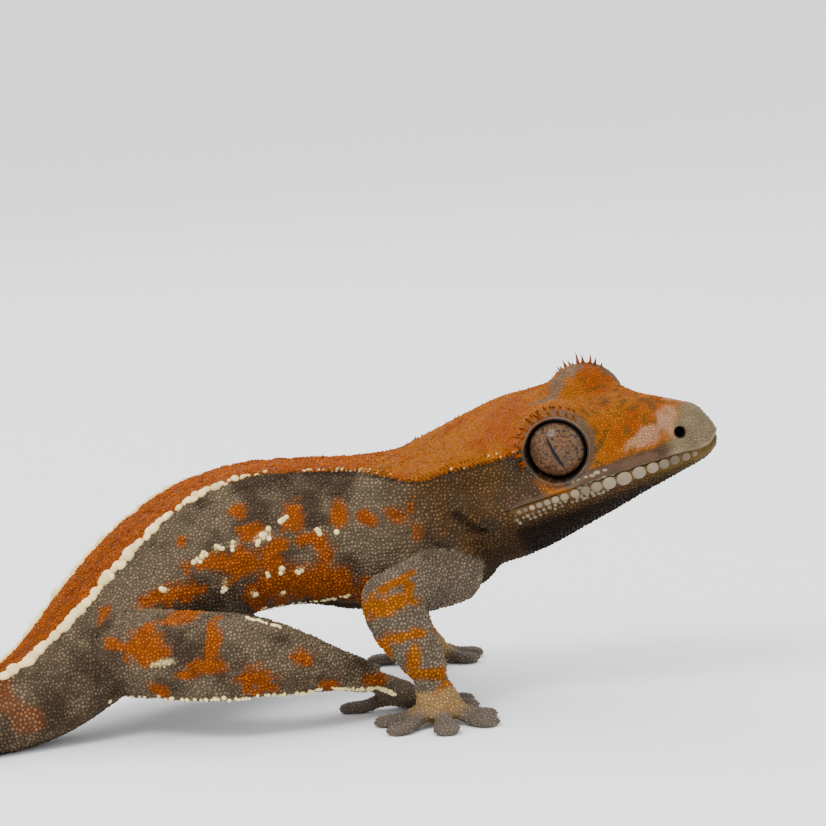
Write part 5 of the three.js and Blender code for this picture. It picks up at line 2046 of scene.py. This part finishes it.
@dataclass
class Trimmings:
    """Spines, stripe beads, lip scales, lashes and claws."""

    trunk: Trunk
    chart: Chart
    skin: Piece

    def make(self) -> list[tuple[Piece, str]]:
        """Grow every kind and give each with its material slot."""
        spines = set_tree(Shape.SPINE, BeadFinish("spines", tip=0.75).make())
        pale = set_tree(Shape.BEAD, BeadFinish("pale beads", 0.42, 0.35, gloss=0.3).make())
        claws = set_tree(Shape.SPINE, BeadFinish("claws", 0.3, 0.2, tip=0.6).make())
        kinds = (
            ("crest_spines", self._crest(), spines, "crest_skin", 2),
            ("eye_lashes", self._lashes(), spines, "crest_skin", 2),
            ("stripe_beads", self._stripe(), pale, "crest_skin", 2),
            ("leg_fringe", self._fringe(), pale, "crest_skin", 2),
            ("flank_beads", self._flank_beads(), pale, "crest_skin", 2),
            ("lower_lip_scales", self._lower_lip(), pale, "scaly_skin", 3),
            ("upper_lip_scales", self._upper_lip(), pale, "scaly_skin", 3),
            ("eye_rim_scales", self._rims(), pale, "scaly_skin", 1),
            ("claw_tips", self._claws(), claws, "foot_skin", 2),
        )
        return [(kept.grow(name, tree, self.skin, detail), slot) for name, kept, tree, slot, detail in kinds]

    def _seat(self, point: Array) -> tuple[Array, Array]:
        """Nearest place on the skin and its outward direction."""
        _, place, normal, _ = self.skin.closest_point_on_mesh(Vector(point))
        return np.array(place), np.array(normal)

    def _cast(self, start: Array, aim: Array) -> tuple[Array, Array]:
        """First place of the skin along a direction, or the nearest if none is met, and its outward way."""
        hit, place, normal, _ = self.skin.ray_cast(Vector(start), Vector(aim))
        return (np.array(place), np.array(normal)) if hit else self._seat(start)

    def _seen(self, u: float, v: float) -> tuple[Array, Array] | None:
        """Find what part of the right side of the skin shows in the picture.

        Args:
            u: place across the picture plane.
            v: place up it.

        Returns:
            The skin's place and its outward direction, or None where no skin shows.
        """
        view = np.array((0.0, LEVEL, -LEAN))
        start = np.array((u, 0.0, 0.0)) + v * np.array((0.0, LEAN, LEVEL)) - 60 * view
        hit, place, normal, _ = self.skin.ray_cast(Vector(start), Vector(view))
        return (np.array(place), np.array(normal)) if hit else None

    def _twin(self, seat: Array) -> tuple[Array, Array]:
        """Place and outward direction on the other side of the trunk that match a place on this."""
        return self._seat(self.chart.mirrored(seat))

    def _crest(self) -> Setting:
        """Small pointed scales in two or three uneven rows along the crest from eye to shoulder."""
        kept = Setting()
        dice = np.random.default_rng(11)
        for line in (0.93, 1.0, 1.07):
            for side in Side:
                way = line if side is Side.LEFT else LINES - line
                points, out, ahead, rows = self.trunk.along(way, 6.9, 13.0, 0.42)
                for point, outward, front, row in zip(points, out, ahead, rows):
                    seat, normal = self._seat(point)
                    edge = abs(line - 1.0) < 0.01
                    long = (0.5 if edge else 0.3) * dice.uniform(0.4, 1.25) * (1.0 if row < 10.5 else 0.7)
                    aim = normal + 0.5 * outward - 0.35 * front + dice.normal(0, 0.2, 3)
                    pale = dice.random() < (0.1 + 0.45 * (row > 11.3))
                    colour = (Marking.CREAM if pale else Marking.ORANGE).tone
                    kept.add(seat - 0.06 * normal, aim, -front, (0.3, 0.3, long), colour)
        return kept

    def _lashes(self) -> Setting:
        """Dark-tipped spines over the eyes, longest above."""
        kept = Setting()
        dice = np.random.default_rng(12)
        for eye in EYES:
            out, ahead, up = eye.axes()
            for reach, height, count in ((0.42, 1.15, 13), (0.85, 0.5, 16)):
                for k in range(count):
                    turn = math.radians(-40 + 145 * k / (count - 1) + dice.uniform(-4, 4))
                    away = math.cos(turn) * up - math.sin(turn) * ahead
                    seat, normal = self._cast(eye.centre() + 5 * out + (eye.opening + reach) * away, -out)
                    long = height * dice.uniform(0.65, 1.15)
                    long = long * (0.6 + 0.4 * math.sin((k + 0.5) / count * math.pi))
                    kept.add(seat - 0.08 * normal, away + 0.7 * out, -ahead, (0.4, 0.4, long),
                             Marking.DORSAL.tone * 0.7)
        return kept

    def _stripe(self) -> Setting:
        """Pale uneven beads along the edges of the back, largest towards the tail."""
        kept = Setting()
        dice = np.random.default_rng(13)
        for side in Side:
            for offset, spacing in ((0.0, 0.66), (-0.1, 0.8), (0.1, 0.8)):
                way = 1.04 + offset if side is Side.LEFT else LINES - 1.04 - offset
                points, out, ahead, rows = self.trunk.along(way, 12.6, 26.5, spacing)
                for point, outward, front, row in zip(points, out, ahead, rows):
                    strong = float(smooth(13.0, 15.6, row)) * float(smooth(26.5, 22.5, row))
                    if dice.random() > (0.35 + 0.65 * strong if offset == 0 else strong * 0.5):
                        continue
                    size = (0.36 + 0.64 * strong) * dice.uniform(0.55, 1.25) * (1.0 if offset == 0 else 0.8)
                    seat, normal = self._seat(point + dice.normal(0, 0.1, 3))
                    colour = Marking.CREAM.tone * (0.3 + 0.58 * strong)
                    colour = colour + Marking.ORANGE.tone * (0.22 + 0.5 * (1 - strong))
                    shape = (size * dice.uniform(1.0, 1.5), size, size * 0.7)
                    kept.add(seat, normal + 0.3 * outward, front, shape, colour)
        return kept

    def _fringe(self) -> Setting:
        """Pale beads along the hind edge of the legs, the knees and the vent."""
        kept = Setting()
        dice = np.random.default_rng(14)
        for leg in LIMBS[FIRST_LEG:]:
            places = np.array((leg.root, leg.bend, leg.end, leg.palm))
            outward = math.copysign(1.0, leg.bend[1])
            middle = places[1] * 0.47 + places[2] * 0.53
            lows = np.array([(leg.root[0], leg.root[1] + outward * 2.2, 2.7),
                             (leg.bend[0] - 1.5, leg.bend[1] + outward * 1.4, 2.7),
                             (middle[0], middle[1] + outward * 1.7, 2.3),
                             (leg.end[0], leg.end[1] + outward * 1.6, 2.2),
                             (leg.palm[0] + 0.6, leg.palm[1] + outward * 1.9, 1.7)])
            for raised, shares in ((0.0, np.linspace(0.02, 0.92, 62)), (0.4, np.linspace(0.5, 0.9, 24))):
                for guess in catmull(lows, shares) + (0, 0, raised):
                    seat, normal = self._seat(guess + dice.normal(0, 0.08, 3))
                    size = dice.uniform(0.28, 0.5)
                    shape = (size, size, size * 0.8)
                    kept.add(seat, normal, places[1] - places[0], shape, Marking.CREAM.tone)
        for u, v, end_u, end_v, count in PALE_ROWS:
            for share in np.linspace(0, 1, count) + dice.uniform(-0.4, 0.4, count) / count:
                found = self._seen(u + share * (end_u - u), v + share * (end_v - v) + dice.normal(0, 0.06))
                size = dice.uniform(0.28, 0.5)
                if found is None:
                    continue
                seat, normal = found
                shape = (size * 1.2, size, size * 0.7)
                kept.add(seat, normal, (1.0, 0, 0), shape, Marking.CREAM.tone)
                if self.chart.locate(seat[None, :]).limb[0] < 0:
                    kept.add(*self._twin(seat), (1.0, 0, 0), shape, Marking.CREAM.tone)
        return kept

    def _flank_beads(self) -> Setting:
        """Clusters of pale beads on both flanks."""
        kept = Setting()
        dice = np.random.default_rng(18)
        for u, v, wide, high, turn in CREAM_MARKS:
            c, s = math.cos(math.radians(turn)), math.sin(math.radians(turn))
            for _ in range(2 + int(wide * high * 14)):
                a, b = dice.uniform(-0.85, 0.85) * wide, dice.uniform(-0.85, 0.85) * high
                found = self._seen(u + a * c - b * s, v + a * s + b * c)
                if found is None:
                    continue
                seat, normal = found
                size = dice.uniform(0.34, 0.58)
                colour = Marking.CREAM.tone * dice.uniform(0.8, 1.0)
                for place, outward in ((seat, normal), self._twin(seat)):
                    kept.add(place, outward, (1.0, 0, 0), (size, size, size * 0.75), colour)
        return kept

    def _lower_lip(self) -> Setting:
        """Large smooth scales below the mouth, the largest under the eye's front."""
        kept = Setting()
        dice = np.random.default_rng(15)
        front = HEAD.basis()[0]
        for side in Side:
            for x, size in LOWER_LIP_SCALES:
                z = float(mouth_height(np.array(x))) - 0.22 - size * 0.42
                y = 8.5 * math.sqrt(max(0.05, 1 - ((x + 3) / 16.5) ** 2))
                seat, normal = self._seat(HEAD.place((x, side.value * y, z)))
                pale = Marking.PEARL.tone * (0.8 if x > 8.8 else 1.0) * (0.75 if x < -3 else 1.0)
                if x > 9.6:
                    pale = pale * 0.55 + Marking.OLIVE.tone * 0.45
                shape = (size * 1.12, size, size * 0.5)
                kept.add(seat - 0.05 * normal, normal, front, shape, pale * dice.uniform(0.6, 1.15))
            for x in np.arange(-4.4, 4.5, 0.52):
                for drop in (0.95, 1.35):
                    if dice.random() < 0.25:
                        continue
                    z = float(mouth_height(np.array(x))) - drop - 0.3 * float(smooth(0, 4, np.array(x)))
                    guess = HEAD.place((x + dice.uniform(-0.1, 0.1), side.value * 8.2, z))
                    seat, normal = self._seat(guess)
                    size = dice.uniform(0.26, 0.42)
                    kept.add(seat, normal, front, (size, size, size * 0.6), Marking.PEARL.tone * 0.7)
        return kept

    def _upper_lip(self) -> Setting:
        """Rows of pale grains above the hind end of the mouth."""
        kept = Setting()
        dice = np.random.default_rng(16)
        for u, v in LIP_GRAINS:
            for step in range(6):
                found = self._seen(u + step * 0.56 + dice.uniform(-0.1, 0.1),
                                   v + step * 0.17 + dice.uniform(-0.06, 0.06))
                if found is None:
                    continue
                seat, normal = found
                size = dice.uniform(0.24, 0.36)
                other = self._seat(HEAD.place(HEAD.local(seat) * (1, -1, 1)))
                shape = (size * 1.7, size, size * 0.5)
                for place, outward in ((seat, normal), other):
                    kept.add(place, outward, HEAD.basis()[0], shape, Marking.PEARL.tone)
        return kept

    def _rims(self) -> Setting:
        """Tiny dark scales in rings at the edge of each eye."""
        kept = Setting()
        dice = np.random.default_rng(17)
        for eye in EYES:
            out, ahead, up = eye.axes()
            rings = ((0.16, 0.2, Marking.RIM), (0.36, 0.22, Marking.UMBER))
            for ring, (wide, size, colour) in enumerate(rings):
                radius = eye.opening + wide
                count = int(2 * math.pi * radius / (size * 0.95))
                for k in range(count):
                    turn = 2 * math.pi * (k + 0.5 * ring) / count
                    away = math.cos(turn) * ahead + math.sin(turn) * up
                    seat, normal = self._cast(eye.centre() + 5 * out + radius * away, -out)
                    kept.add(seat, normal, np.cross(out, away), (size, size * 1.2, size * 0.7),
                             colour.tone * dice.uniform(0.7, 1.2))
        return kept

    def _claws(self) -> Setting:
        """A short curved claw at the tip of every digit."""
        kept = Setting()
        for limb in LIMBS:
            for root, aim, length in limb.claws():
                lead = np.array((aim[0] * 0.2, aim[1] * 0.2, -1.0))
                kept.add(root - 0.2 * aim, aim, lead, (0.42, 0.36, length), Marking.TOE.tone)
        return kept


@dataclass
class Gecko:
    """The whole animal, built piece by piece."""

    stand: Stand
    trunk: Trunk = field(default_factory=Trunk)
    # strength of the painted shade between beads and round their feet, on the body and on the crown
    gap: float = 0.46
    crown_gap_shade: float = 0.34

    def make(self) -> None:
        """Build every piece and move it into the imported model's frame."""
        skin = SkinPlan(self.trunk).make()
        chart = Chart(self.trunk)
        self._dress(skin, chart)
        body = bead_tree(BeadFinish("granules", 0.75, 0.7, top=self.gap).make())
        crown = bead_tree(BeadFinish("crown granules", 0.75, 0.48, top=self.crown_gap_shade).make())
        grown = []
        for number, patch in enumerate(Patch):
            tree = crown if patch is Patch.CROWN else body
            name = "beads_" + patch.name.lower()
            beads = tree.run(name, skin.data, Patch=number, Spacing=patch.value, Seed=number)
            grown.append((beads, "scaly_skin"))
        grown += Trimmings(self.trunk, chart, skin).make()
        self.stand.publish(skin, "scaly_skin", FLESH)
        for piece, slot in grown:
            self.stand.publish(piece, slot)
        for ball, node in Eyeballs().make():
            self.stand.publish(ball, "eye", (node,))

    def _dress(self, skin: Piece, chart: Chart) -> None:
        """Colour the skin and store on it where and how it is beaded.

        Args:
            skin: the bare skin.
            chart: chart of the trunk under it.
        """
        mesh = skin.data
        place = chart.locate(SkinPlan.arrays(skin)[0])
        coat = Coat(place)
        density, girth = coat.beading()
        patch = Patch.of(place)
        # painted shade between beads, weaker on the crown
        dark = np.where(patch == 0, self.crown_gap_shade, self.gap)
        for name, values in (("coat", density), ("girth", girth), ("gap", density * dark)):
            add_attribute(mesh, name, "FLOAT", values)
        add_attribute(mesh, "tint", "FLOAT_COLOR", coat.paint())
        add_attribute(mesh, "patch", "INT", patch)
        mesh.materials.clear()
        mesh.materials.append(SkinFinish("skin", 0.6).make())
        mesh.shade_smooth()


def main() -> None:
    """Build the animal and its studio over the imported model."""
    logging.basicConfig(level=logging.INFO, format="%(name)s %(message)s")
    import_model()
    stand = Stand.find()
    LOG.info("plan to packed frame: %s", stand.shift)
    Studio().make(stand)
    Gecko(stand).make()


if __name__ == "__main__":
    main()
